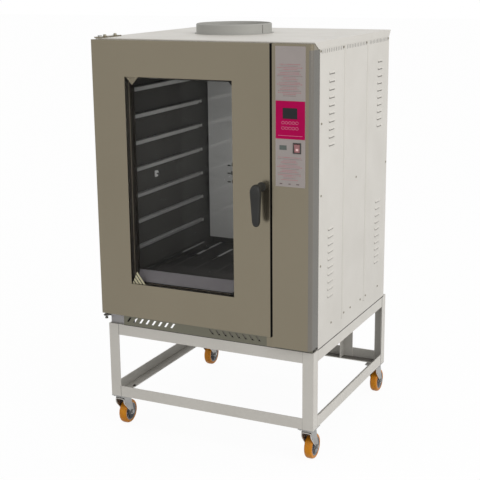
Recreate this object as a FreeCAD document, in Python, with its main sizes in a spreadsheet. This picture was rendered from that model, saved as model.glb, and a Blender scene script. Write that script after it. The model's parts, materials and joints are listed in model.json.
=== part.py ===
"""Convection oven on a castered angle-steel stand, in millimetres.

+X is to the right seen from the front, +Y runs to the back and +Z is up. The origin is on the
floor under the middle of the stand.
"""
import FreeCAD
import Part
import Sketcher
import math
import os

DOC = FreeCAD.newDocument("convection_oven")
SHEET = DOC.addObject("Spreadsheet::Sheet", "sizes")
NODES = []


def value_of(amount):
    """The plain number of a size or a number."""
    return amount.value if isinstance(amount, Size) else float(amount)


def text_of(amount):
    """The expression text of a size or a number."""
    return amount.text if isinstance(amount, Size) else repr(float(amount))


class Size:
    """A length known both as a number and as an expression on the sheet of sizes."""

    def __init__(self, value, text):
        self.value = value
        self.text = text

    def __add__(self, other):
        return Size(self.value + value_of(other), f"({self.text} + {text_of(other)})")

    def __radd__(self, other):
        return Size(value_of(other) + self.value, f"({text_of(other)} + {self.text})")

    def __sub__(self, other):
        return Size(self.value - value_of(other), f"({self.text} - {text_of(other)})")

    def __rsub__(self, other):
        return Size(value_of(other) - self.value, f"({text_of(other)} - {self.text})")

    def __mul__(self, other):
        return Size(self.value * value_of(other), f"({self.text} * {text_of(other)})")

    def __rmul__(self, other):
        return Size(value_of(other) * self.value, f"({text_of(other)} * {self.text})")

    def __truediv__(self, other):
        return Size(self.value / value_of(other), f"({self.text} / {text_of(other)})")

    def __neg__(self):
        return Size(-self.value, f"(-1 * {self.text})")


def size(alias, number):
    """Write one driving dimension on the sheet and give it back as a size."""
    row = size.row
    size.row = row + 1
    SHEET.set(f"A{row}", alias)
    SHEET.set(f"B{row}", str(number))
    SHEET.setAlias(f"B{row}", alias)
    return Size(float(number), f"sizes.{alias}")


size.row = 1

# Stand of angle steel
stand_width = size("stand_width", 1020)
stand_depth = size("stand_depth", 950)
stand_height = size("stand_height", 355)
angle_leg = size("angle_leg", 50.8)
angle_wall = size("angle_wall", 4)
rear_post_left = size("rear_post_left", 292)

# Casters
caster_height = size("caster_height", 161)
wheel_radius = size("wheel_radius", 57)
wheel_width = size("wheel_width", 36)
caster_trail = size("caster_trail", 37)
caster_plate_wide = size("caster_plate_wide", 72)
caster_plate_long = size("caster_plate_long", 82)
caster_plate_thick = size("caster_plate_thick", 4)
race_radius = size("race_radius", 25)
race_height = size("race_height", 6)
kingpin_radius = size("kingpin_radius", 6)
kingpin_nut_radius = size("kingpin_nut_radius", 11)
kingpin_nut_height = size("kingpin_nut_height", 8)
fork_crown = size("fork_crown", 5)
fork_crown_half = size("fork_crown_half", 28)
fork_wall = size("fork_wall", 3)
fork_boss_radius = size("fork_boss_radius", 14)
fork_bend = size("fork_bend", 4)
fork_lip = size("fork_lip", 10)
fork_web = size("fork_web", 25)
wheel_side_gap = size("wheel_side_gap", 3)
axle_radius = size("axle_radius", 5)
axle_head_radius = size("axle_head_radius", 9)
axle_head = size("axle_head", 6)
hub_radius = size("hub_radius", 42)
hub_boss_radius = size("hub_boss_radius", 14)
hub_web = size("hub_web", 10)
hub_inset = size("hub_inset", 1)
tyre_round = size("tyre_round", 8)
turning_gap = size("turning_gap", 0.3)
running_fit = size("running_fit", 0.05)

# Cabinet
sheet_wall = size("sheet_wall", 1.5)
plinth_height = size("plinth_height", 55)
body_back_inset = size("body_back_inset", 32)
column_depth = size("column_depth", 78)
column_bend = size("column_bend", 18)
column_wall = size("column_wall", 2)
column_foot_gap = size("column_foot_gap", 17)
frame_wall = size("frame_wall", 4)
foot_flange = size("foot_flange", 28)
cover_rise = size("cover_rise", 5)
cover_flange = size("cover_flange", 30)
cover_front_setback = size("cover_front_setback", 18)
cover_rear_overhang = size("cover_rear_overhang", 17)
cover_front_mitre = size("cover_front_mitre", 47)
cover_rear_mitre = size("cover_rear_mitre", 22)
collar_radius = size("collar_radius", 173)
collar_height = size("collar_height", 45)
collar_flange = size("collar_flange", 8)
collar_round = size("collar_round", 6)
collar_y = size("collar_y", 26)

# Louvres and creases of the side panels
louvre_length = size("louvre_length", 66)
louvre_pitch = size("louvre_pitch", 33.1)
louvre_slit = size("louvre_slit", 9)
louvre_hood = size("louvre_hood", 13)
louvre_lip = size("louvre_lip", 5.5)
louvre_proud = size("louvre_proud", 4)
louvre_end = size("louvre_end", 2)
louvre_count = 10
louvre_front_y = size("louvre_front_y", -289)
louvre_rear_y = size("louvre_rear_y", 320)
louvre_upper_z = size("louvre_upper_z", 1377)
louvre_lower_z = size("louvre_lower_z", 717)
crease_front_y = size("crease_front_y", -140)
crease_rear_y = size("crease_rear_y", 148)
crease_half = size("crease_half", 11)
crease_depth = size("crease_depth", 3)

# Skirt
skirt_left_inset = size("skirt_left_inset", 82)
skirt_right_inset = size("skirt_right_inset", 5)
skirt_gap = size("skirt_gap", 3)
slot_left_x = size("slot_left_x", -412)
slot_right_x = size("slot_right_x", 12)
slot_pitch = size("slot_pitch", 32.5)
slot_width = size("slot_width", 10)
slot_height = size("slot_height", 22)
slot_lean = size("slot_lean", 15)
slot_bottom = size("slot_bottom", 19)
slot_count = 8

# Door
door_width = size("door_width", 852)
door_height = size("door_height", 1240)
door_depth = size("door_depth", 60)
door_overhang = size("door_overhang", 30)
door_side_overhang = size("door_side_overhang", 16)
door_gap = size("door_gap", 8)
door_sheet = size("door_sheet", 2)
door_edge_round = size("door_edge_round", 4)
window_width = size("window_width", 514)
window_height = size("window_height", 926)
window_left_margin = size("window_left_margin", 165)
window_bottom_margin = size("window_bottom_margin", 159)
window_lip = size("window_lip", 12)
glass_thick = size("glass_thick", 5)
glass_lap = size("glass_lap", 14)
glass_gap = size("glass_gap", 0.3)
clip_leg = size("clip_leg", 42)
clip_thick = size("clip_thick", 2)
gasket_width = size("gasket_width", 14)
gasket_margin = size("gasket_margin", 6)
gasket_gap = size("gasket_gap", 0.4)

# Hinges
pivot_inset = size("pivot_inset", 29)
pin_radius = size("pin_radius", 6)
pin_head_radius = size("pin_head_radius", 10)
pin_head = size("pin_head", 6)
pin_hole_gap = size("pin_hole_gap", 1)
pivot_block_half = size("pivot_block_half", 20)
pivot_block_tall = size("pivot_block_tall", 25)
strap_width = size("strap_width", 40)
strap_length = size("strap_length", 158)
strap_front = size("strap_front", 14)
strap_thick = size("strap_thick", 5)
tongue_thick = size("tongue_thick", 6)
tongue_width = size("tongue_width", 84)
bracket_wall = size("bracket_wall", 4)
bracket_inset = size("bracket_inset", 14)

# Handle and latch
handle_edge_inset = size("handle_edge_inset", 41)
handle_height = size("handle_height", 653)
handle_boss_radius = size("handle_boss_radius", 17)
handle_standoff = size("handle_standoff", 40)
grip_thick = size("grip_thick", 27)
grip_top_half = size("grip_top_half", 20.5)
grip_end_half = size("grip_end_half", 17)
grip_length = size("grip_length", 156)
grip_edge_round = size("grip_edge_round", 7)
grip_corner_round = size("grip_corner_round", 14)
spindle_radius = size("spindle_radius", 6)
spindle_grip = size("spindle_grip", 25)
spindle_inner = size("spindle_inner", 48)
latch_reach = size("latch_reach", 46.5)
latch_half = size("latch_half", 7)
latch_thick = size("latch_thick", 6)
latch_slot_gap = size("latch_slot_gap", 2)
latch_depth = size("latch_depth", 27)
keeper_thick = size("keeper_thick", 1.5)
keeper_half = size("keeper_half", 28)
keeper_width = size("keeper_width", 30)

# Cavity
cavity_width = size("cavity_width", 602)
cavity_height = size("cavity_height", 978)
cavity_depth = size("cavity_depth", 792)
cavity_side_gap = size("cavity_side_gap", 115)
cavity_floor_rise = size("cavity_floor_rise", 206)
cavity_wall = size("cavity_wall", 2)
rail_levels = 8
rail_pitch = size("rail_pitch", 120)
rail_first = size("rail_first", 36)
rail_width = size("rail_width", 20)
rail_drop = size("rail_drop", 22)
rail_length = size("rail_length", 626)
rail_front_gap = size("rail_front_gap", 23)
rail_sheet = size("rail_sheet", 2)
insulation_thick = size("insulation_thick", 50)
sill_depth = size("sill_depth", 110)
sill_thick = size("sill_thick", 3)
floor_slot_width = size("floor_slot_width", 12)
floor_slot_length = size("floor_slot_length", 230)
floor_slot_y = size("floor_slot_y", 30)
floor_slot_first = size("floor_slot_first", 40)
floor_slot_pitch = size("floor_slot_pitch", 116)
floor_slot_count = 5
probe_y = size("probe_y", -205)
probe_z = size("probe_z", 1180)
probe_half = size("probe_half", 11)
probe_plate = size("probe_plate", 4)
probe_radius = size("probe_radius", 4)
probe_reach = size("probe_reach", 14)

# Fan
fan_rise = size("fan_rise", 388)
baffle_gap = size("baffle_gap", 88)
baffle_side_gap = size("baffle_side_gap", 28)
baffle_foot_gap = size("baffle_foot_gap", 52)
baffle_head_gap = size("baffle_head_gap", 40)
spacer_radius = size("spacer_radius", 6)
spacer_inset = size("spacer_inset", 40)
intake_radius = size("intake_radius", 150)
intake_pitch = size("intake_pitch", 43)
intake_slot = size("intake_slot", 18)
intake_rows = 3
impeller_radius = size("impeller_radius", 140)
impeller_eye = size("impeller_eye", 92)
impeller_depth = size("impeller_depth", 52)
impeller_plate = size("impeller_plate", 2.5)
impeller_hub_radius = size("impeller_hub_radius", 22)
impeller_wall_gap = size("impeller_wall_gap", 16)
blade_count = 14
blade_sweep = size("blade_sweep", 34)
blade_thick = size("blade_thick", 2.5)
shaft_radius = size("shaft_radius", 9.5)
shaft_seat = size("shaft_seat", 40)
shaft_hole_gap = size("shaft_hole_gap", 4)
motor_radius = size("motor_radius", 75)
motor_length = size("motor_length", 173)
motor_flange_radius = size("motor_flange_radius", 90)
motor_flange = size("motor_flange", 8)
motor_round = size("motor_round", 12)
motor_clearance = size("motor_clearance", 5)
motor_cover_half = size("motor_cover_half", 120)
motor_cover_depth = size("motor_cover_depth", 115)
motor_cover_round = size("motor_cover_round", 4)

# Burners under the cavity
burner_radius = size("burner_radius", 20)
burner_rise = size("burner_rise", 68)
burner_length = size("burner_length", 640)
burner_front_gap = size("burner_front_gap", 97)
burner_spacing = size("burner_spacing", 180)
burner_foot_half = size("burner_foot_half", 14)
burner_foot_wall = size("burner_foot_wall", 6)
air_slot_half = size("air_slot_half", 16)
valve_box_left = size("valve_box_left", 2)
valve_box_width = size("valve_box_width", 290)
valve_box_depth = size("valve_box_depth", 90)
valve_box_height = size("valve_box_height", 66)
valve_box_front_gap = size("valve_box_front_gap", 8)
inlet_x = size("inlet_x", 300)
inlet_z = size("inlet_z", 640)
inlet_radius = size("inlet_radius", 10.5)
inlet_length = size("inlet_length", 40)
inlet_shoulder_radius = size("inlet_shoulder_radius", 17)
inlet_shoulder = size("inlet_shoulder", 8)
vent_length = size("vent_length", 120)
vent_height = size("vent_height", 8)
vent_pitch = size("vent_pitch", 26)
vent_x = size("vent_x", 330)
vent_z = size("vent_z", 1480)
vent_rows = 8
cover_vent_rows = 7

# Controls on the column
module_left_gap = size("module_left_gap", 17)
module_width = size("module_width", 128)
module_height = size("module_height", 154)
module_rise = size("module_rise", 859)
module_proud = size("module_proud", 2)
module_housing_inset = size("module_housing_inset", 13)
module_housing_depth = size("module_housing_depth", 34)
display_width = size("display_width", 64)
display_height = size("display_height", 44)
display_left = size("display_left", 31)
display_top = size("display_top", 28)
display_sink = size("display_sink", 1.2)
display_thick = size("display_thick", 1)
display_fit = size("display_fit", 0.1)
rocker_width = size("rocker_width", 35)
rocker_height = size("rocker_height", 44)
rocker_left = size("rocker_left", 93)
rocker_rise = size("rocker_rise", 801)
rocker_rim = size("rocker_rim", 3)
rocker_key_width = size("rocker_key_width", 25.4)
rocker_key_half = size("rocker_key_half", 16.5)
rocker_play = size("rocker_play", 2)
rocker_front = size("rocker_front", 6.5)
rocker_hollow = size("rocker_hollow", 4.5)
rocker_back = size("rocker_back", 5)
rocker_pivot = size("rocker_pivot", 3)
rocker_pin_radius = size("rocker_pin_radius", 2)
rocker_box = size("rocker_box", 27)
rocker_wall = size("rocker_wall", 2)
rocker_tilt = size("rocker_tilt", 8)
lamp_width = size("lamp_width", 31)
lamp_height = size("lamp_height", 18.5)
lamp_left = size("lamp_left", 33.5)
lamp_rise = size("lamp_rise", 814)
lamp_proud = size("lamp_proud", 1.5)
lamp_body_inset = size("lamp_body_inset", 3)
lamp_body_depth = size("lamp_body_depth", 18)

# Planes that several pieces share
half_w = stand_width / 2
half_d = stand_depth / 2
stand_top = caster_height + stand_height
door_bottom = stand_top + plinth_height
door_top = door_bottom + door_height
door_left = -half_w - door_side_overhang
door_right = door_left + door_width
door_front = -half_d - door_overhang
door_back = door_front + door_depth
column_left = door_right + door_gap
column_bottom = stand_top + column_foot_gap
body_front = door_front + column_depth
body_back = half_d - body_back_inset
frame_front = body_front - frame_wall
cover_top = door_top + cover_rise
cover_under = cover_top - sheet_wall
side_inner = half_w - sheet_wall
rear_inner = body_back - sheet_wall
cavity_left = -half_w + cavity_side_gap
cavity_right = cavity_left + cavity_width
cavity_x = cavity_left + cavity_width / 2
cavity_floor = stand_top + cavity_floor_rise
cavity_ceiling = cavity_floor + cavity_height
cavity_back = body_front + cavity_depth
window_left = door_left + window_left_margin
window_right = window_left + window_width
window_bottom = door_bottom + window_bottom_margin
window_top = window_bottom + window_height
pivot_x = door_left + pivot_inset
pivot_y = door_front + door_depth / 2
handle_x = door_right - handle_edge_inset
handle_z = door_bottom + handle_height
fan_z = cavity_floor + fan_rise
motor_face = cavity_back + cavity_wall
caster_x = half_w - caster_plate_wide / 2
caster_y = half_d - caster_plate_long / 2

PLANE_ROLE = {"XY": "XY_Plane", "XZ": "XZ_Plane", "YZ": "YZ_Plane"}
AXIS_ROLE = {"X": "X_Axis", "Y": "Y_Axis", "Z": "Z_Axis"}
BEYOND = 1.0


def origin_feature(body, role):
    """The plane or axis of a body's own origin that plays this role."""
    for feature in body.Origin.OriginFeatures:
        if feature.Role == role:
            return feature
    raise ValueError(role)


def bind(thing, prop, amount):
    """Tie a property to a size, or set it when the amount is a plain number."""
    thing.setExpression(prop, text_of(amount))


def start(label, at=None):
    """Begin a body, placed at a point when one is given."""
    body = DOC.addObject("PartDesign::Body", label)
    body.Label = label
    if at is not None:
        for letter, amount in zip("xyz", at):
            bind(body, f"Placement.Base.{letter}", amount)
    return body


def pin_point(sketch, curve, spot, u, v):
    """Hold one point of a sketch curve at u, v from the sketch origin."""
    for kind, amount in (("DistanceX", u), ("DistanceY", v)):
        number = value_of(amount)
        index = sketch.addConstraint(Sketcher.Constraint(kind, -1, 1, curve, spot, number))
        if isinstance(amount, Size):
            sketch.setExpression(f"Constraints[{index}]", amount.text)


def draw_polygon(sketch, points):
    """Draw a closed outline through the points and hold every corner."""
    first = sketch.GeometryCount
    count = len(points)
    spots = [FreeCAD.Vector(value_of(u), value_of(v), 0) for u, v in points]
    for i in range(count):
        sketch.addGeometry(Part.LineSegment(spots[i], spots[(i + 1) % count]), False)
    for i in range(count):
        sketch.addConstraint(
            Sketcher.Constraint("Coincident", first + i, 2, first + (i + 1) % count, 1)
        )
    for i, (u, v) in enumerate(points):
        pin_point(sketch, first + i, 1, u, v)


def draw_circle(sketch, u, v, radius):
    """Draw a circle and hold its centre and radius."""
    centre = FreeCAD.Vector(value_of(u), value_of(v), 0)
    up = FreeCAD.Vector(0, 0, 1)
    curve = sketch.addGeometry(Part.Circle(centre, up, value_of(radius)), False)
    pin_point(sketch, curve, 3, u, v)
    index = sketch.addConstraint(Sketcher.Constraint("Radius", curve, value_of(radius)))
    if isinstance(radius, Size):
        sketch.setExpression(f"Constraints[{index}]", radius.text)


def sketch_on(body, plane, loops, offset):
    """Draw loops on a plane of the body's origin, moved along its normal by the offset."""
    sketch = body.newObject("Sketcher::SketchObject", f"{body.Name}_sketch")
    sketch.AttachmentSupport = [(origin_feature(body, PLANE_ROLE[plane]), "")]
    sketch.MapMode = "FlatFace"
    bind(sketch, "AttachmentOffset.Base.z", offset)
    for loop in loops:
        if loop[0] == "circle":
            draw_circle(sketch, *loop[1:])
        else:
            draw_polygon(sketch, loop)
    return sketch


def add(body, plane, loops, span):
    """Add a pad between two distances along the axis across the plane."""
    low, high = span
    offset = -1 * high if plane == "XZ" else low
    sketch = sketch_on(body, plane, loops, offset)
    feature = body.newObject("PartDesign::Pad", f"{body.Name}_pad")
    feature.Profile = sketch
    bind(feature, "Length", high - low)
    body.Tip = feature
    return feature


def remove(body, plane, loops, span):
    """Cut a pocket between two distances along the axis across the plane."""
    low, high = span
    offset = -1 * low if plane == "XZ" else high
    sketch = sketch_on(body, plane, loops, offset)
    feature = body.newObject("PartDesign::Pocket", f"{body.Name}_pocket")
    feature.Profile = sketch
    bind(feature, "Length", high - low)
    body.Tip = feature
    return feature


def turn(body, plane, points, axis):
    """Add a turned solid round the horizontal (H) or vertical (V) axis of the sketch."""
    sketch = sketch_on(body, plane, [points], 0)
    feature = body.newObject("PartDesign::Revolution", f"{body.Name}_turned")
    feature.Profile = sketch
    feature.ReferenceAxis = (sketch, [f"{axis}_Axis"])
    feature.Angle = 360
    body.Tip = feature
    return feature


def repeat_line(body, feature, axis, pitch, count):
    """Repeat a feature along an axis."""
    pattern = body.newObject("PartDesign::LinearPattern", f"{body.Name}_row")
    pattern.Originals = [feature]
    pattern.Direction = (origin_feature(body, AXIS_ROLE[axis]), [""])
    bind(pattern, "Length", pitch * (count - 1))
    pattern.Occurrences = count
    body.Tip = pattern
    return pattern


def repeat_round(body, feature, axis, count):
    """Repeat a feature evenly round an axis."""
    pattern = body.newObject("PartDesign::PolarPattern", f"{body.Name}_ring")
    pattern.Originals = [feature]
    pattern.Axis = (origin_feature(body, AXIS_ROLE[axis]), [""])
    pattern.Angle = 360
    pattern.Occurrences = count
    body.Tip = pattern
    return pattern


def round_edges(body, radius, chosen):
    """Round the edges of the body's tip that the test picks out."""
    DOC.recompute()
    base = body.Tip
    names = [f"Edge{i + 1}" for i, edge in enumerate(base.Shape.Edges) if chosen(edge)]
    if not names:
        raise ValueError(f"no edge to round on {body.Label}")
    feature = body.newObject("PartDesign::Fillet", f"{body.Name}_round")
    feature.Base = (base, names)
    bind(feature, "Radius", radius)
    body.Tip = feature
    return feature


def edge_at(**spots):
    """A test for edges whose whole length lies at the given coordinates."""
    def chosen(edge):
        box = edge.BoundBox
        for letter, amount in spots.items():
            low = getattr(box, f"{letter.upper()}Min")
            high = getattr(box, f"{letter.upper()}Max")
            number = value_of(amount)
            if abs(low - number) > 0.01 or abs(high - number) > 0.01:
                return False
        return True
    return chosen


def rect(u_span, v_span):
    """The four corners of a rectangle."""
    (u0, u1), (v0, v1) = u_span, v_span
    return [(u0, v0), (u1, v0), (u1, v1), (u0, v1)]


def about(centre, half):
    """The span that lies evenly about a centre."""
    return (centre - half, centre + half)


def hexagon(radius):
    """The six corners of a hex head about the sketch origin, from its corner radius."""
    turns = [math.radians(60 * i) for i in range(6)]
    return [(round(math.cos(a), 6) * radius, round(math.sin(a), 6) * radius) for a in turns]


def grow(span, margin):
    """A span made longer by a margin at both ends."""
    return (span[0] - margin, span[1] + margin)


def mirrored(outline):
    """The other half of an outline, mirrored left to right and drawn on from its end."""
    return [(-u, v) for u, v in reversed(outline)]


def angle_outline(corner, inward):
    """The L of an angle bar from its outer corner, with its legs running inward."""
    (u, v), (du, dv) = corner, inward
    return [
        (u, v),
        (u + du * angle_leg, v),
        (u + du * angle_leg, v + dv * angle_wall),
        (u + du * angle_wall, v + dv * angle_wall),
        (u + du * angle_wall, v + dv * angle_leg),
        (u, v + dv * angle_leg),
    ]


def node(thing):
    """Keep a finished piece as a node to write out."""
    NODES.append(thing)
    return thing


def slab(label, x_span, y_span, z_span):
    """A plain rectangular solid between six planes."""
    solid = DOC.addObject("Part::Box", label)
    solid.Label = label
    spans = (x_span, y_span, z_span)
    for prop, letter, (low, high) in zip(("Length", "Width", "Height"), "xyz", spans):
        bind(solid, prop, high - low)
        bind(solid, f"Placement.Base.{letter}", low)
    return solid


def group(label, members):
    """Several separate solids that make one node."""
    compound = DOC.addObject("Part::Compound", label)
    compound.Label = label
    compound.Links = members
    return compound


def build_stand():
    """Four angle legs, two frames of angle rails between them and a post at the rear."""
    legs = []
    for sx in (-1, 1):
        for sy in (-1, 1):
            leg = start(f"leg_{len(legs)}")
            outline = angle_outline((sx * half_w, sy * half_d), (-sx, -sy))
            add(leg, "XY", [outline], (caster_height, stand_top))
            legs.append(leg)
    post = start("rear_post")
    outline = angle_outline((rear_post_left, half_d - angle_wall), (1, -1))
    add(post, "XY", [outline], (caster_height + angle_wall, stand_top - angle_wall))
    node(group("stand_legs", legs + [post]))
    x_run = about(0, half_w - angle_leg)
    y_run = about(0, half_d - angle_leg)
    for label, level, rise in (
        ("stand_lower_frame", caster_height, 1),
        ("stand_upper_frame", stand_top, -1),
    ):
        rails = []
        for side in (-1, 1):
            cross = start(f"{label}_x{len(rails)}")
            outline = angle_outline((side * half_d, level), (-side, rise))
            add(cross, "YZ", [outline], x_run)
            along = start(f"{label}_y{len(rails)}")
            outline = angle_outline((side * half_w, level), (-side, rise))
            add(along, "XZ", [outline], y_run)
            rails += [cross, along]
        node(group(label, rails))


def build_casters():
    """Swivel casters with trailing wheels under the four corners."""
    plate_under = caster_height - caster_plate_thick
    race_under = plate_under - race_height
    crown_top = race_under - turning_gap
    crown_under = crown_top - fork_crown
    nut_top = crown_under - turning_gap
    fork_inner = wheel_width / 2 + wheel_side_gap
    fork_outer = fork_inner + fork_wall
    plates = []
    for name, sx, sy in (("fl", -1, -1), ("fr", 1, -1), ("rl", -1, 1), ("rr", 1, 1)):
        x = sx * caster_x
        y = sy * caster_y
        plate = start(f"caster_plate_{name}", (x, y, 0))
        plate_x = about(0, caster_plate_wide / 2)
        plate_y = about(0, caster_plate_long / 2)
        add(plate, "XY", [rect(plate_x, plate_y)], (plate_under, caster_height))
        add(plate, "XY", [("circle", 0, 0, race_radius)], (race_under, plate_under))
        nut_under = nut_top - kingpin_nut_height
        add(plate, "XY", [("circle", 0, 0, kingpin_radius)], (nut_under, race_under))
        add(plate, "XY", [hexagon(kingpin_nut_radius)], (nut_under, nut_top))
        plates.append(plate)

        fork = start(f"caster_fork_{name}", (x, y, 0))
        arm = [
            (-fork_crown_half, crown_top),
            (fork_crown_half, crown_top),
            (fork_crown_half, crown_top - fork_lip),
            (caster_trail + fork_boss_radius, wheel_radius),
            (caster_trail - fork_boss_radius, wheel_radius),
            (-fork_crown_half, crown_top - fork_web),
        ]
        add(fork, "YZ", [arm], about(0, fork_outer))
        boss = ("circle", caster_trail, wheel_radius, fork_boss_radius)
        add(fork, "YZ", [boss], about(0, fork_outer))
        well = rect(about(caster_trail, 2 * wheel_radius), (0, crown_under))
        remove(fork, "YZ", [well], about(0, fork_inner))
        bore = ("circle", caster_trail, wheel_radius, axle_radius + running_fit)
        remove(fork, "YZ", [bore], about(0, fork_outer + BEYOND))
        bore = ("circle", 0, 0, kingpin_radius + running_fit)
        remove(fork, "XY", [bore], (crown_under - BEYOND, crown_top + BEYOND))
        for side in (-1, 1):
            round_edges(fork, fork_bend, edge_at(x=side * fork_outer, z=crown_top))
        node(fork)

        centre = (x, y + caster_trail, wheel_radius)
        axle = start(f"caster_axle_{name}", centre)
        head_end = fork_outer + axle_head
        add(axle, "YZ", [("circle", 0, 0, axle_radius)], about(0, head_end))
        add(axle, "YZ", [hexagon(axle_head_radius)], (fork_outer, head_end))
        add(axle, "YZ", [hexagon(axle_head_radius)], (-head_end, -fork_outer))
        node(axle)

        hub = start(f"caster_hub_{name}", centre)
        rim_half = wheel_width / 2 - hub_inset
        boss_half = fork_inner - turning_gap
        right_half = [
            (boss_half, axle_radius + running_fit),
            (boss_half, hub_boss_radius),
            (hub_web / 2, hub_radius - hub_web),
            (rim_half, hub_radius - hub_web / 2),
            (rim_half, hub_radius),
        ]
        turn(hub, "XZ", right_half + mirrored(right_half), "H")
        node(hub)

        tyre = start(f"caster_tyre_{name}", centre)
        side = wheel_width / 2
        right_half = [
            (side, hub_radius + running_fit),
            (side, wheel_radius - tyre_round),
            (side - tyre_round / 3, wheel_radius - tyre_round / 3),
            (side - tyre_round, wheel_radius),
        ]
        turn(tyre, "XZ", right_half + mirrored(right_half), "H")
        node(tyre)
    node(group("caster_plates", plates))


def build_side_panels():
    """Side sheets with two pressed creases, hooded louvres and a foot flange."""
    for label, side in (("side_panel_left", -1), ("side_panel_right", 1)):
        panel = start(label)
        outer = side * half_w
        inner = side * side_inner
        x_span = (inner, outer) if side > 0 else (outer, inner)
        y_span = (body_front, body_back)
        z_span = (stand_top, cover_under)
        add(panel, "YZ", [rect(y_span, z_span)], x_span)
        foot = rect((inner, inner - side * foot_flange), (body_front, rear_inner))
        add(panel, "XY", [foot], (stand_top, stand_top + sheet_wall))
        crease_z = (door_bottom + 2 * sheet_wall, cover_under - cover_flange)
        for y in (crease_front_y, crease_rear_y):
            back = [
                (inner, y - crease_half),
                (inner - side * crease_depth, y),
                (inner, y + crease_half),
            ]
            add(panel, "XY", [back], crease_z)
            groove = [
                (outer, y - crease_half),
                (outer - side * crease_depth, y),
                (outer, y + crease_half),
            ]
            remove(panel, "XY", [groove], crease_z)
        lip = outer + side * louvre_proud
        for y in (louvre_front_y, louvre_rear_y):
            span = about(y, louvre_length / 2)
            for z in (louvre_upper_z, louvre_lower_z):
                hood = [
                    (inner, z + louvre_slit),
                    (inner, z + louvre_hood),
                    (outer, z + louvre_hood),
                    (lip, z + louvre_lip),
                    (lip - side * sheet_wall, z + louvre_lip),
                ]
                feature = add(panel, "XZ", [hood], span)
                repeat_line(panel, feature, "Z", louvre_pitch, louvre_count)
                slit = rect((inner - side * BEYOND, outer), (z, z + louvre_slit))
                feature = remove(panel, "XZ", [slit], grow(span, -louvre_end))
                repeat_line(panel, feature, "Z", louvre_pitch, louvre_count)
        node(panel)


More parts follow.
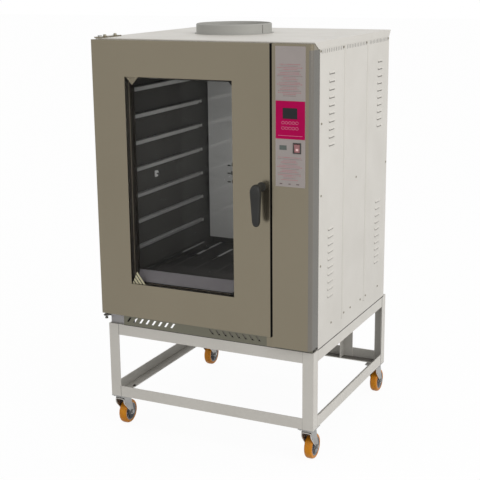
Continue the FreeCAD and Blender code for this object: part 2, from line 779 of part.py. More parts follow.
def build_cabinet():
    """Base pan, rear panel, motor cover, top cover, collar, front frame, column and skirt."""
    pan = start("base_pan")
    slots = []
    slot_y = (body_front + burner_front_gap, body_front + burner_front_gap + burner_length)
    for step in (-1, 0, 1):
        slots.append(rect(about(cavity_x + step * burner_spacing, air_slot_half / 2), slot_y))
    pan_outline = rect(about(0, side_inner), (body_front, rear_inner))
    add(pan, "XY", [pan_outline] + slots, (door_bottom, door_bottom + sheet_wall))
    node(pan)

    rear = start("rear_panel")
    hole = ("circle", cavity_x, fan_z, motor_radius + motor_clearance)
    outline = rect(about(0, side_inner), (stand_top, cover_under))
    add(rear, "XZ", [outline, hole], (rear_inner, body_back))
    for side in (-1, 1):
        x_span = about(side * vent_x, vent_length / 2)
        vent = rect(x_span, (vent_z, vent_z + vent_height))
        feature = remove(rear, "XZ", [vent], (rear_inner - BEYOND, body_back + BEYOND))
        repeat_line(rear, feature, "Z", vent_pitch, vent_rows)
    node(rear)

    cover = start("motor_cover")
    cover_x = about(cavity_x, motor_cover_half)
    cover_z = about(fan_z, motor_cover_half)
    cover_end = body_back + motor_cover_depth
    add(cover, "XZ", [rect(cover_x, cover_z)], (body_back, cover_end))
    round_edges(cover, motor_cover_round, edge_at(y=cover_end))
    hollow = rect(grow(cover_x, -sheet_wall), grow(cover_z, -sheet_wall))
    remove(cover, "XZ", [hollow], (body_back, cover_end - sheet_wall))
    vent_low = fan_z - vent_pitch * (cover_vent_rows - 1) / 2
    vent = rect(about(cavity_x, vent_length / 2), (vent_low, vent_low + vent_height))
    feature = remove(cover, "XZ", [vent], (cover_end - sheet_wall - BEYOND, cover_end + BEYOND))
    repeat_line(cover, feature, "Z", vent_pitch, cover_vent_rows)
    node(cover)

    top = start("top_cover")
    top_front = door_front + cover_front_setback
    top_back = body_back + cover_rear_overhang
    flange_out = half_w + sheet_wall
    hinge_hole = ("circle", pivot_x, pivot_y, pin_radius + pin_hole_gap)
    outline = rect(about(0, flange_out), (top_front, top_back))
    add(top, "XY", [outline, hinge_hole], (cover_under, cover_top))
    for x_span, flange_front in (
        ((half_w, flange_out), top_front),
        ((-flange_out, -half_w), body_front),
    ):
        flange = [
            (flange_front, cover_under),
            (top_back, cover_under),
            (top_back - cover_rear_mitre, cover_top - cover_flange),
            (flange_front + cover_front_mitre, cover_top - cover_flange),
        ]
        add(top, "YZ", [flange], x_span)
    node(top)

    collar = start("flue_collar", (cavity_x, collar_y, cover_top))
    inner_r = collar_radius - sheet_wall
    inner_top = collar_height - sheet_wall
    outline = [
        (inner_r, 0),
        (collar_radius + collar_flange, 0),
        (collar_radius + collar_flange, sheet_wall),
        (collar_radius, sheet_wall),
        (collar_radius, collar_height - collar_round),
        (collar_radius - collar_round, collar_height),
        (0, collar_height),
        (0, inner_top),
        (inner_r - collar_round, inner_top),
        (inner_r, inner_top - collar_round),
    ]
    turn(collar, "XZ", outline, "V")
    node(collar)

    frame = start("front_frame")
    frame_right = half_w - column_wall
    mouth = rect((cavity_left, cavity_right), (cavity_floor, cavity_ceiling))
    outline = rect((-half_w, frame_right), (door_bottom, cover_under))
    add(frame, "XZ", [outline, mouth], (frame_front, body_front))
    node(frame)

    column = start("control_column")
    add(column, "XY", [rect((column_left, half_w), (door_front, body_front))], (column_bottom, door_top))
    room_x = (column_left + column_wall, half_w - column_wall)
    room_y = (door_front + column_wall, body_front + BEYOND)
    remove(column, "XY", [rect(room_x, room_y)], (column_bottom + column_wall, door_top - column_wall))
    seat = rect((column_left - BEYOND, frame_right), (frame_front, body_front + BEYOND))
    remove(column, "XY", [seat], (door_bottom, door_top + BEYOND))
    round_edges(column, column_bend, edge_at(x=half_w, y=door_front))
    round_edges(column, column_bend - column_wall, edge_at(x=room_x[1], y=room_y[0]))
    wall = (door_front - BEYOND, door_front + column_wall + BEYOND)
    holes = [
        rect(*module_hole()),
        rect(*rocker_hole()),
        rect(*lamp_hole()),
    ]
    remove(column, "XZ", holes, wall)
    node(column)

    skirt = start("front_skirt")
    skirt_x = (-half_w + skirt_left_inset, half_w - skirt_right_inset)
    skirt_top = door_bottom - skirt_gap
    skirt_end = column_left - skirt_gap
    outline = [
        (skirt_x[0], stand_top),
        (skirt_x[1], stand_top),
        (skirt_x[1], column_bottom - skirt_gap),
        (skirt_end, column_bottom - skirt_gap),
        (skirt_end, skirt_top),
        (skirt_x[0], skirt_top),
    ]
    add(skirt, "XZ", [outline], (-half_d, -half_d + sheet_wall))
    shelf = rect((skirt_x[0], skirt_end), (-half_d + sheet_wall, body_front))
    add(skirt, "XY", [shelf], (skirt_top - sheet_wall, skirt_top))
    low = stand_top + slot_bottom
    high = low + slot_height
    through = (-half_d - BEYOND, -half_d + sheet_wall + BEYOND)
    for x, lean_low, lean_high in (
        (slot_left_x, 0, slot_lean),
        (slot_right_x, slot_lean, 0),
    ):
        slot = [
            (x + lean_low, low),
            (x + lean_low + slot_width, low),
            (x + lean_high + slot_width, high),
            (x + lean_high, high),
        ]
        feature = remove(skirt, "XZ", [slot], through)
        repeat_line(skirt, feature, "X", slot_pitch, slot_count)
    node(skirt)


def build_hinges():
    """Strap on the cover, bracket on the stand and the two pivot pins."""
    strap = start("hinge_strap")
    strap_x = about(pivot_x, strap_width / 2)
    strap_y = (pivot_y - strap_front, pivot_y - strap_front + strap_length)
    hole = ("circle", pivot_x, pivot_y, pin_radius + running_fit)
    add(strap, "XY", [rect(strap_x, strap_y), hole], (cover_top, cover_top + strap_thick))
    node(strap)

    bracket = start("hinge_bracket")
    tongue_x = (-half_w - bracket_inset / 2, -half_w - bracket_inset / 2 + tongue_width)
    tongue_top = door_bottom - skirt_gap
    tongue_under = tongue_top - tongue_thick
    tongue_y = (pivot_y - strap_front, body_front)
    add(bracket, "XY", [rect(tongue_x, tongue_y), hole], (tongue_under, tongue_top))
    plate_x = (-half_w + bracket_inset / 2, tongue_x[1])
    hole_side = pivot_y + pin_head_radius + pin_hole_gap
    plate_y = (hole_side, hole_side + bracket_wall)
    add(bracket, "XY", [rect(plate_x, plate_y)], (stand_top, tongue_under))
    node(bracket)

    upper = start("hinge_pin_upper", (pivot_x, pivot_y, 0))
    head_base = cover_top + strap_thick
    head_top = head_base + pin_head
    add(upper, "XY", [("circle", 0, 0, pin_radius)], (door_top - pivot_block_tall, head_top))
    add(upper, "XY", [hexagon(pin_head_radius)], (head_base, head_top))
    lower = start("hinge_pin_lower", (pivot_x, pivot_y, 0))
    nut_under = tongue_under - pin_head
    washer_top = door_bottom - turning_gap
    add(lower, "XY", [("circle", 0, 0, pin_radius)], (nut_under, door_bottom + pivot_block_tall))
    add(lower, "XY", [hexagon(pin_head_radius)], (nut_under, tongue_under))
    add(lower, "XY", [("circle", 0, 0, pin_head_radius)], (tongue_top, washer_top))
    node(group("hinge_pins", [upper, lower]))


def build_cavity():
    """Cavity walls, sill, tray guides, insulation and probe clip."""
    wall_y = (body_front, cavity_back)
    wall_z = (cavity_floor, cavity_ceiling)
    outer_x = (cavity_left - cavity_wall, cavity_right + cavity_wall)
    floor = start("cavity_floor_sheet")
    slots = []
    for i in range(floor_slot_count):
        x = cavity_left + floor_slot_first + i * floor_slot_pitch
        slots.append(rect((x, x + floor_slot_width), (floor_slot_y, floor_slot_y + floor_slot_length)))
    floor_z = (cavity_floor - cavity_wall, cavity_floor)
    add(floor, "XY", [rect(outer_x, wall_y)] + slots, floor_z)
    back = start("cavity_back_sheet")
    hole = ("circle", cavity_x, fan_z, shaft_radius + shaft_hole_gap)
    back_z = (cavity_floor - cavity_wall, cavity_ceiling + cavity_wall)
    add(back, "XZ", [rect(outer_x, back_z), hole], (cavity_back, motor_face))
    sheets = [
        floor,
        back,
        slab("cavity_left_sheet", (outer_x[0], cavity_left), wall_y, wall_z),
        slab("cavity_right_sheet", (cavity_right, outer_x[1]), wall_y, wall_z),
        slab("cavity_top_sheet", outer_x, wall_y, (cavity_ceiling, cavity_ceiling + cavity_wall)),
    ]
    node(group("cavity_liner", sheets))

    sill_z = (cavity_floor, cavity_floor + sill_thick)
    node(slab("cavity_sill", (cavity_left, cavity_right), (body_front, body_front + sill_depth), sill_z))

    rail_y = (body_front + rail_front_gap, body_front + rail_front_gap + rail_length)
    for label, wall_x, inward in (
        ("tray_rails_left", cavity_left, 1),
        ("tray_rails_right", cavity_right, -1),
    ):
        rails = []
        for level in range(rail_levels):
            z = cavity_floor + rail_first + level * rail_pitch
            tip = wall_x + inward * rail_width
            outline = [
                (wall_x, z),
                (tip, z),
                (tip, z - rail_sheet),
                (wall_x, z - rail_drop),
                (wall_x, z - rail_drop + 1.5 * rail_sheet),
                (tip - inward * 2 * rail_sheet, z - rail_sheet),
                (wall_x, z - rail_sheet),
            ]
            rail = start(f"{label}_{level}")
            add(rail, "XZ", [outline], rail_y)
            rails.append(rail)
        node(group(label, rails))

    out = insulation_thick
    inner_y = (body_front, motor_face)
    blanket_z = (cavity_floor - cavity_wall, cavity_ceiling + cavity_wall)
    back_blanket = start("insulation_back")
    hole = ("circle", cavity_x, fan_z, motor_flange_radius + motor_clearance)
    add(back_blanket, "XZ", [rect(outer_x, blanket_z), hole], (motor_face, motor_face + out))
    blankets = [
        back_blanket,
        slab("insulation_left", (outer_x[0] - out, outer_x[0]), inner_y, blanket_z),
        slab("insulation_right", (outer_x[1], outer_x[1] + out), inner_y, blanket_z),
        slab("insulation_top", outer_x, inner_y, (blanket_z[1], blanket_z[1] + out)),
    ]
    node(group("insulation", blankets))

    probe = start("temperature_probe")
    plate_x = (cavity_left, cavity_left + probe_plate)
    add(probe, "YZ", [rect(about(probe_y, probe_half), about(probe_z, probe_half))], plate_x)
    tip_x = (plate_x[1], plate_x[1] + probe_reach)
    add(probe, "YZ", [("circle", probe_y, probe_z, probe_radius)], tip_x)
    node(probe)


def build_fan():
    """Baffle with intake slots, swept-blade impeller, shaft and motor."""
    baffle_back = cavity_back - baffle_gap
    baffle_span = (baffle_back - sheet_wall, baffle_back)
    baffle_x = grow((cavity_left, cavity_right), -baffle_side_gap)
    baffle_z = (cavity_floor + baffle_foot_gap, cavity_ceiling - baffle_head_gap)
    baffle = start("fan_baffle")
    slots = []
    for row in range(-intake_rows, intake_rows + 1):
        reach = math.sqrt(1 - (row / (intake_rows + 1)) ** 2)
        z = fan_z + row * intake_pitch
        slots.append(rect(about(cavity_x, reach * intake_radius), about(z, intake_slot / 2)))
    add(baffle, "XZ", [rect(baffle_x, baffle_z)] + slots, baffle_span)
    inner_x = grow(baffle_x, -spacer_inset)
    inner_z = grow(baffle_z, -spacer_inset)
    spacers = [("circle", x, z, spacer_radius) for x in inner_x for z in inner_z]
    add(baffle, "XZ", spacers, (baffle_back, cavity_back))
    node(baffle)

    back_face = cavity_back - impeller_wall_gap
    disc_front = back_face - impeller_plate
    eye_face = back_face - impeller_depth
    impeller = start("fan_impeller", (cavity_x, 0, fan_z))
    bore = shaft_radius + running_fit
    profile = [
        (bore, back_face),
        (impeller_radius, back_face),
        (impeller_radius, disc_front),
        (impeller_hub_radius, disc_front),
        (impeller_hub_radius, eye_face + impeller_plate),
        (bore, eye_face + impeller_plate),
    ]
    turn(impeller, "XY", profile, "V")
    sweep = math.radians(blade_sweep.value)
    tip_u = impeller_radius * math.cos(sweep) - blade_thick
    tip_v = impeller_radius * math.sin(sweep) - blade_thick
    root = impeller_eye - 2 * blade_thick
    blade = [
        (root, 0),
        (root + blade_thick, -blade_thick),
        (tip_u + blade_thick, tip_v - blade_thick),
        (tip_u, tip_v),
    ]
    feature = add(impeller, "XZ", [blade], (eye_face + impeller_plate / 2, disc_front + impeller_plate / 2))
    repeat_round(impeller, feature, "Y", blade_count)
    ring = [("circle", 0, 0, impeller_radius), ("circle", 0, 0, impeller_eye)]
    add(impeller, "XZ", ring, (eye_face, eye_face + impeller_plate))
    node(impeller)

    shaft = start("fan_shaft", (cavity_x, 0, fan_z))
    shaft_end = motor_face + shaft_seat
    add(shaft, "XZ", [("circle", 0, 0, shaft_radius)], (eye_face, shaft_end))
    node(shaft)

    motor = start("fan_motor", (cavity_x, 0, fan_z))
    socket = shaft_radius + running_fit
    flange_end = motor_face + motor_flange
    motor_end = motor_face + motor_length
    outline = [
        (socket, motor_face),
        (motor_flange_radius, motor_face),
        (motor_flange_radius, flange_end),
        (motor_radius, flange_end),
        (motor_radius, motor_end - motor_round),
        (motor_radius - motor_round, motor_end),
        (0, motor_end),
        (0, shaft_end + turning_gap),
        (socket, shaft_end + turning_gap),
    ]
    turn(motor, "XY", outline, "V")
    node(motor)


def build_burners():
    """Burner tubes on feet, valve box behind the vent slots and the gas inlet."""
    pan_top = door_bottom + sheet_wall
    tube_y = (body_front + burner_front_gap, body_front + burner_front_gap + burner_length)
    tube_z = pan_top + burner_rise
    tubes = []
    for step in (-1, 0, 1):
        x = cavity_x + step * burner_spacing
        tube = start(f"burner_tube_{step + 1}")
        add(tube, "XZ", [("circle", x, tube_z, burner_radius)], tube_y)
        foot = rect(about(x, burner_foot_half), (pan_top, tube_z))
        for y in (tube_y[0] - burner_foot_wall / 2, tube_y[1] - burner_foot_wall / 2):
            add(tube, "XZ", [foot], (y, y + burner_foot_wall))
        tubes.append(tube)
    node(group("burner_tubes", tubes))

    box_x = (valve_box_left, valve_box_left + valve_box_width)
    box_y = (body_front + valve_box_front_gap, body_front + valve_box_front_gap + valve_box_depth)
    node(slab("valve_box", box_x, box_y, (door_bottom - valve_box_height, door_bottom)))

    inlet = start("gas_inlet", (inlet_x, body_back, inlet_z))
    add(inlet, "XZ", [hexagon(inlet_shoulder_radius)], (0, inlet_shoulder))
    add(inlet, "XZ", [("circle", 0, 0, inlet_radius)], (inlet_shoulder, inlet_shoulder + inlet_length))
    node(inlet)


def build_door():
    """Door skin, inner frame with pivot blocks, two panes, corner clips and gasket."""
    door_x = (door_left, door_right)
    door_z = (door_bottom, door_top)
    window_x = (window_left, window_right)
    window_z = (window_bottom, window_top)
    skin_back = door_front + door_sheet
    glass_back = skin_back + glass_thick
    plate_front = door_back - door_sheet

    skin = start("door_skin")
    add(skin, "XZ", [rect(door_x, door_z)], (door_front, door_back))
    round_edges(skin, door_edge_round, edge_at(y=door_front))
    inner_x = grow(door_x, -door_sheet)
    inner_z = grow(door_z, -door_sheet)
    remove(skin, "XZ", [rect(inner_x, inner_z)], (skin_back, door_back))
    front_holes = [
        rect(window_x, window_z),
        ("circle", handle_x, handle_z, spindle_radius + running_fit),
    ]
    remove(skin, "XZ", front_holes, (door_front - BEYOND, skin_back + BEYOND))
    pivot_hole = ("circle", pivot_x, pivot_y, pin_radius + pin_hole_gap)
    remove(skin, "XY", [pivot_hole], (door_top - door_sheet - BEYOND, door_top + BEYOND))
    remove(skin, "XY", [pivot_hole], (door_bottom - BEYOND, door_bottom + door_sheet + BEYOND))
    arm_y = door_front + latch_depth
    arm_slot = rect(
        grow((arm_y, arm_y + latch_thick), latch_slot_gap),
        (handle_z - latch_reach, handle_z + latch_half + latch_slot_gap),
    )
    remove(skin, "YZ", [arm_slot], (door_right - door_sheet - BEYOND, door_right + BEYOND))
    node(skin)

    inner = start("door_inner_frame")
    lip = rect(grow(window_x, -window_lip), grow(window_z, -window_lip))
    add(inner, "XZ", [rect(inner_x, inner_z), lip], (plate_front, door_back))
    reveal = [rect(grow(window_x, door_sheet), grow(window_z, door_sheet)), rect(window_x, window_z)]
    add(inner, "XZ", reveal, (glass_back, plate_front))
    block = rect(about(pivot_x, pivot_block_half), (pivot_y - pivot_block_half, plate_front))
    add(inner, "XY", [block], (inner_z[1] - pivot_block_tall, inner_z[1]))
    add(inner, "XY", [block], (inner_z[0], inner_z[0] + pivot_block_tall))
    bore = ("circle", pivot_x, pivot_y, pin_radius + running_fit)
    remove(inner, "XY", [bore], (door_bottom, door_top))
    node(inner)

    node(slab("outer_glass", grow(window_x, glass_lap), (skin_back, glass_back), grow(window_z, glass_lap)))
    pane_y = (plate_front - glass_thick, plate_front)
    node(slab("inner_glass", grow(window_x, -glass_gap), pane_y, grow(window_z, -glass_gap)))

    clips = []
    for x, du in ((window_left, 1), (window_right, -1)):
        for z, dv in ((window_bottom, 1), (window_top, -1)):
            clip = start(f"glass_clip_{len(clips)}")
            corner = [(x, z), (x + du * clip_leg, z), (x, z + dv * clip_leg)]
            add(clip, "XZ", [corner], (glass_back, glass_back + clip_thick))
            clips.append(clip)
    node(group("glass_clips", clips))

    gasket = start("door_gasket")
    mouth_x = grow((cavity_left, cavity_right), gasket_margin)
    mouth_z = grow((cavity_floor, cavity_ceiling), gasket_margin)
    loops = [rect(grow(mouth_x, gasket_width), grow(mouth_z, gasket_width)), rect(mouth_x, mouth_z)]
    add(gasket, "XZ", loops, (door_back, frame_front - gasket_gap))
    node(gasket)


def build_handle():
    """Lever handle, its spindle with the latch arm, and the strike plate."""
    lever = start("handle_lever")
    boss_end = door_front - turning_gap
    grip_back = boss_end - handle_standoff
    grip_front = grip_back - grip_thick
    grip_end = handle_z - grip_length
    grip_top = handle_z + grip_top_half
    outline = [
        (handle_x - grip_top_half, grip_top),
        (handle_x - grip_end_half, grip_end),
        (handle_x + grip_end_half, grip_end),
        (handle_x + grip_top_half, grip_top),
    ]
    add(lever, "XZ", [outline], (grip_front, grip_back))
    corners = (value_of(grip_top), value_of(grip_end))

    def grip_corner(edge):
        box = edge.BoundBox
        level = any(abs(box.ZMin - z) < 0.1 and abs(box.ZMax - z) < 0.1 for z in corners)
        return level and box.YLength > 1

    round_edges(lever, grip_corner_round, grip_corner)
    round_edges(lever, grip_edge_round, edge_at(y=grip_front))
    add(lever, "XZ", [("circle", handle_x, handle_z, handle_boss_radius)], (grip_back - BEYOND, boss_end))
    socket = ("circle", handle_x, handle_z, spindle_radius + running_fit)
    remove(lever, "XZ", [socket], (boss_end - spindle_grip, boss_end + BEYOND))
    node(lever)

    cam = start("latch_cam")
    cam_y = (boss_end - spindle_grip, door_front + spindle_inner)
    add(cam, "XZ", [("circle", handle_x, handle_z, spindle_radius)], cam_y)
    arm_y = door_front + latch_depth
    arm = rect((handle_x, handle_x + latch_reach), about(handle_z, latch_half))
    add(cam, "XZ", [arm], (arm_y, arm_y + latch_thick))
    node(cam)

    keeper_y = about(arm_y + latch_thick / 2, keeper_width / 2)
    keeper_x = (column_left - keeper_thick, column_left)
    node(slab("latch_keeper", keeper_x, keeper_y, about(handle_z, keeper_half)))


def module_span():
    """Outline of the control module on the column face."""
    x = column_left + module_left_gap
    z = door_bottom + module_rise
    return (x, x + module_width), (z, z + module_height)


def module_hole():
    """Hole in the column for the module's housing."""
    x_span, z_span = module_span()
    return grow(x_span, -module_housing_inset), grow(z_span, -module_housing_inset)


def rocker_span():
    """Outline of the rocker bezel on the column face."""
    x = column_left + rocker_left
    z = door_bottom + rocker_rise
    return (x, x + rocker_width), (z, z + rocker_height)


def rocker_hole():
    """Hole in the column for the rocker's housing."""
    x_span, z_span = rocker_span()
    return grow(x_span, -rocker_wall), grow(z_span, -rocker_wall)


def lamp_span():
    """Outline of the indicator on the column face."""
    x = column_left + lamp_left
    z = door_bottom + lamp_rise
    return (x, x + lamp_width), (z, z + lamp_height)


def lamp_hole():
    """Hole in the column for the indicator's body."""
    x_span, z_span = lamp_span()
    return grow(x_span, -lamp_body_inset), grow(z_span, -lamp_body_inset)


def build_controls():
    """Control module with display, tilting rocker switch and indicator."""
    face = door_front
    module = start("control_module")
    x_span, z_span = module_span()
    module_front = face - module_proud
    add(module, "XZ", [rect(x_span, z_span)], (module_front, face))
    add(module, "XZ", [rect(*module_hole())], (face, face + module_housing_depth))
    lens_x = (x_span[0] + display_left, x_span[0] + display_left + display_width)
    lens_z = (z_span[1] - display_top - display_height, z_span[1] - display_top)
    recess = rect(grow(lens_x, display_fit), grow(lens_z, display_fit))
    remove(module, "XZ", [recess], (module_front, module_front + display_sink))
    node(module)
    lens_y = (module_front + display_sink - display_thick, module_front + display_sink)
    node(slab("display_window", lens_x, lens_y, lens_z))

    bezel = start("rocker_bezel")
    x_span, z_span = rocker_span()
    centre_x = x_span[0] + rocker_width / 2
    centre_z = z_span[0] + rocker_height / 2
    key_x = about(centre_x, rocker_key_width / 2 + turning_gap)
    key_z = about(centre_z, rocker_key_half + rocker_play)
    opening = rect(key_x, key_z)
    add(bezel, "XZ", [rect(x_span, z_span), opening], (face - rocker_rim, face))
    box_end = face + rocker_box
    add(bezel, "XZ", [rect(*rocker_hole()), opening], (face, box_end))
    add(bezel, "XZ", [rect(*rocker_hole())], (box_end, box_end + rocker_wall))
    pin_bore = ("circle", face + rocker_pivot, centre_z, rocker_pin_radius + running_fit)
    remove(bezel, "YZ", [pin_bore], about(centre_x, rocker_width / 2))
    node(bezel)

    key = start("rocker_key", (centre_x, face + rocker_pivot, centre_z))
    bind(key, "Placement.Rotation.Angle", rocker_tilt)
    key.Placement.Rotation.Axis = FreeCAD.Vector(1, 0, 0)
    outline = [
        (-rocker_front, -rocker_key_half),
        (rocker_back, rocker_play - rocker_key_half),
        (rocker_back, rocker_key_half - rocker_play),
        (-rocker_front, rocker_key_half),
        (-rocker_hollow, 0),
    ]
    add(key, "YZ", [outline], about(0, rocker_key_width / 2))
    pin_half = rocker_key_width / 2 + rocker_wall
    add(key, "YZ", [("circle", 0, 0, rocker_pin_radius)], about(0, pin_half))
    node(key)

    lamp = start("indicator_lamp")
    add(lamp, "XZ", [rect(*lamp_span())], (face - lamp_proud, face))
    add(lamp, "XZ", [rect(*lamp_hole())], (face, face + lamp_body_depth))
    node(lamp)


def write_nodes():
    """Check every object and write one file per node."""
    DOC.recompute()
    for thing in DOC.Objects:
        if "Invalid" in thing.State or "Error" in thing.State:
            raise RuntimeError(f"{thing.Label} did not compute: {thing.State}")
    os.makedirs("parts", exist_ok=True)
    for piece in NODES:
        if piece.Shape.isNull() or not piece.Shape.isValid():
            raise RuntimeError(f"{piece.Label} has no valid shape")
        piece.Shape.exportStep(f"parts/{piece.Label}.step")
    print(f"wrote {len(NODES)} nodes")


build_stand()
build_casters()
build_side_panels()
build_cabinet()
build_hinges()
build_cavity()
build_fan()
build_burners()
build_door()
build_handle()
build_controls()
write_nodes()
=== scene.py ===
"""Looks of a convection oven on a castered stand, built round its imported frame, in metres."""
import json
import logging
import math
from dataclasses import dataclass, replace
from enum import Enum
from typing import Self, Sequence

import bmesh
import bpy
from mathutils import Matrix, Vector


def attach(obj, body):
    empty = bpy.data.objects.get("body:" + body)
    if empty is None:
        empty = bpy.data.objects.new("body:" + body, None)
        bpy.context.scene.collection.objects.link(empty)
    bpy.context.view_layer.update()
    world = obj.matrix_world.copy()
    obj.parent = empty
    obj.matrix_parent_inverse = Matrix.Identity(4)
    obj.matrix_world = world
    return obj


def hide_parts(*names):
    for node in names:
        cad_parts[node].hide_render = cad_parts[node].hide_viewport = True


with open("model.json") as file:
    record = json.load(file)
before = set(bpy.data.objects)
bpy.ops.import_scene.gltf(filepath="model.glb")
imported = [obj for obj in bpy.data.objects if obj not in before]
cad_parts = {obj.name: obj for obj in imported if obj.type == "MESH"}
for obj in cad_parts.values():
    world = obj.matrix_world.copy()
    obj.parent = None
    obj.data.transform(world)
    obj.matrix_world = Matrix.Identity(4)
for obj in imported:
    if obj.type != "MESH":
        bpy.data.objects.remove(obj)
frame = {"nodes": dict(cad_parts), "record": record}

LOG = logging.getLogger("oven")
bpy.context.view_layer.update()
MM = 0.001
SAME_SPOT = 0.001 * MM
BMesh = bmesh.types.BMesh
Object = bpy.types.Object
Socket = bpy.types.NodeSocket
Colour = tuple[float, float, float, float]
WHITE: Colour = (1.0, 1.0, 1.0, 1.0)
Screen = tuple[int, int, int]
Span = tuple[float, float]
Outline = Sequence[tuple[float, float]]
Point = tuple[float, float, float]
ENDS = (-1, 1)
CORNERS = [(u, v) for u in ENDS for v in ENDS]
LEFT, RIGHT = (-1, 0, 0), (1, 0, 0)
FRONT, BACK = (0, -1, 0), (0, 1, 0)
DOWN, UP = (0, 0, -1), (0, 0, 1)


def srgb(red: int, green: int, blue: int) -> Colour:
    """Turn an 8-bit screen colour into a linear one.

    Args:
        red: Red from 0 to 255.
        green: Green from 0 to 255.
        blue: Blue from 0 to 255.

    Returns:
        The linear colour with full alpha.
    """
    def linear(level: int) -> float:
        """Linear value of one channel."""
        share = level / 255
        return share / 12.92 if share <= 0.04045 else ((share + 0.055) / 1.055) ** 2.4

    return (linear(red), linear(green), linear(blue), 1.0)


class Axis(Enum):
    """Axis that a turned shape goes round, with the order of its coordinates."""

    X = (0, 1, 2)
    Y = (1, 0, 2)
    Z = (2, 0, 1)

    def point(self, along: float, u: float, v: float) -> Vector:
        """Point at a distance along the axis and two distances across it."""
        spot = Vector((0.0, 0.0, 0.0))
        for index, amount in zip(self.value, (along, u, v)):
            spot[index] = amount
        return spot


class Wiring:
    """Adds and links the nodes of one tree."""

    def __init__(self, tree: bpy.types.NodeTree) -> None:
        """Take the tree to be wired."""
        self.tree = tree

    @classmethod
    def fresh(cls, owner: bpy.types.Material | bpy.types.World) -> Self:
        """Wiring of the owner's own tree, emptied first."""
        owner.use_nodes = True
        owner.node_tree.nodes.clear()
        return cls(owner.node_tree)

    def add(self, kind: str, inputs: dict | None = None, **settings) -> bpy.types.Node:
        """Add a node, set its settings and fill its inputs.

        Args:
            kind: Blender's name of the node type.
            inputs: Values or output sockets by input name or index.
            **settings: Properties of the node itself.

        Returns:
            The new node.
        """
        node = self.tree.nodes.new(kind)
        for name, value in settings.items():
            setattr(node, name, value)
        for key, value in (inputs or {}).items():
            if isinstance(value, Socket):
                self.tree.links.new(value, node.inputs[key])
            else:
                node.inputs[key].default_value = value
        return node

    def math(self, operation: str, first, second) -> Socket:
        """Value of one arithmetic step."""
        return self.add("ShaderNodeMath", {0: first, 1: second}, operation=operation).outputs[0]

    def mix(self, share, first, second) -> Socket:
        """Colour between two colours, with the colour sockets of a node that mixes several kinds."""
        node = self.add("ShaderNodeMix", {0: share, 6: first, 7: second}, data_type="RGBA")
        return node.outputs[2]

    def ramp(self, value, low: float, high: float, start, end) -> Socket:
        """Value carried from one range to another."""
        inputs = {"Value": value, "From Min": low, "From Max": high, "To Min": start, "To Max": end}
        return self.add("ShaderNodeMapRange", inputs).outputs[0]

    def noise(self, vector, scale, detail: float = 3.0) -> Socket:
        """Grey noise at a scale."""
        return self.add("ShaderNodeTexNoise", {"Vector": vector, "Scale": scale, "Detail": detail}).outputs[0]


class Effect(Enum):
    """Surface effects that several finishes share, each a shader node group."""

    DRIFT = "colour_drift"
    SMUDGE = "handling_marks"
    DUST = "settled_dust"
    PEEL = "orange_peel"
    BRUSHED = "brushed_lines"
    CAST = "cast_skin"

    def group(self) -> bpy.types.NodeTree:
        """The node group of this effect, built on first use."""
        made = bpy.data.node_groups.get(self.value)
        return made if made else EffectMaker(self).tree


EFFECT_SOCKETS: dict[Effect, tuple[dict[str, str], tuple[str, str]]] = {
    Effect.DRIFT: ({"Base": "Color", "Shade": "Color", "Scale": "Float"}, ("Color", "Color")),
    Effect.SMUDGE: ({"Low": "Float", "High": "Float", "Scale": "Float"}, ("Roughness", "Float")),
    Effect.DUST: ({"Color": "Color", "Dust": "Color", "Amount": "Float"}, ("Color", "Color")),
    Effect.PEEL: ({"Scale": "Float"}, ("Height", "Float")),
    Effect.BRUSHED: ({"Stretch": "Vector", "Scale": "Float"}, ("Height", "Float")),
    Effect.CAST: ({"Scale": "Float"}, ("Height", "Float")),
}


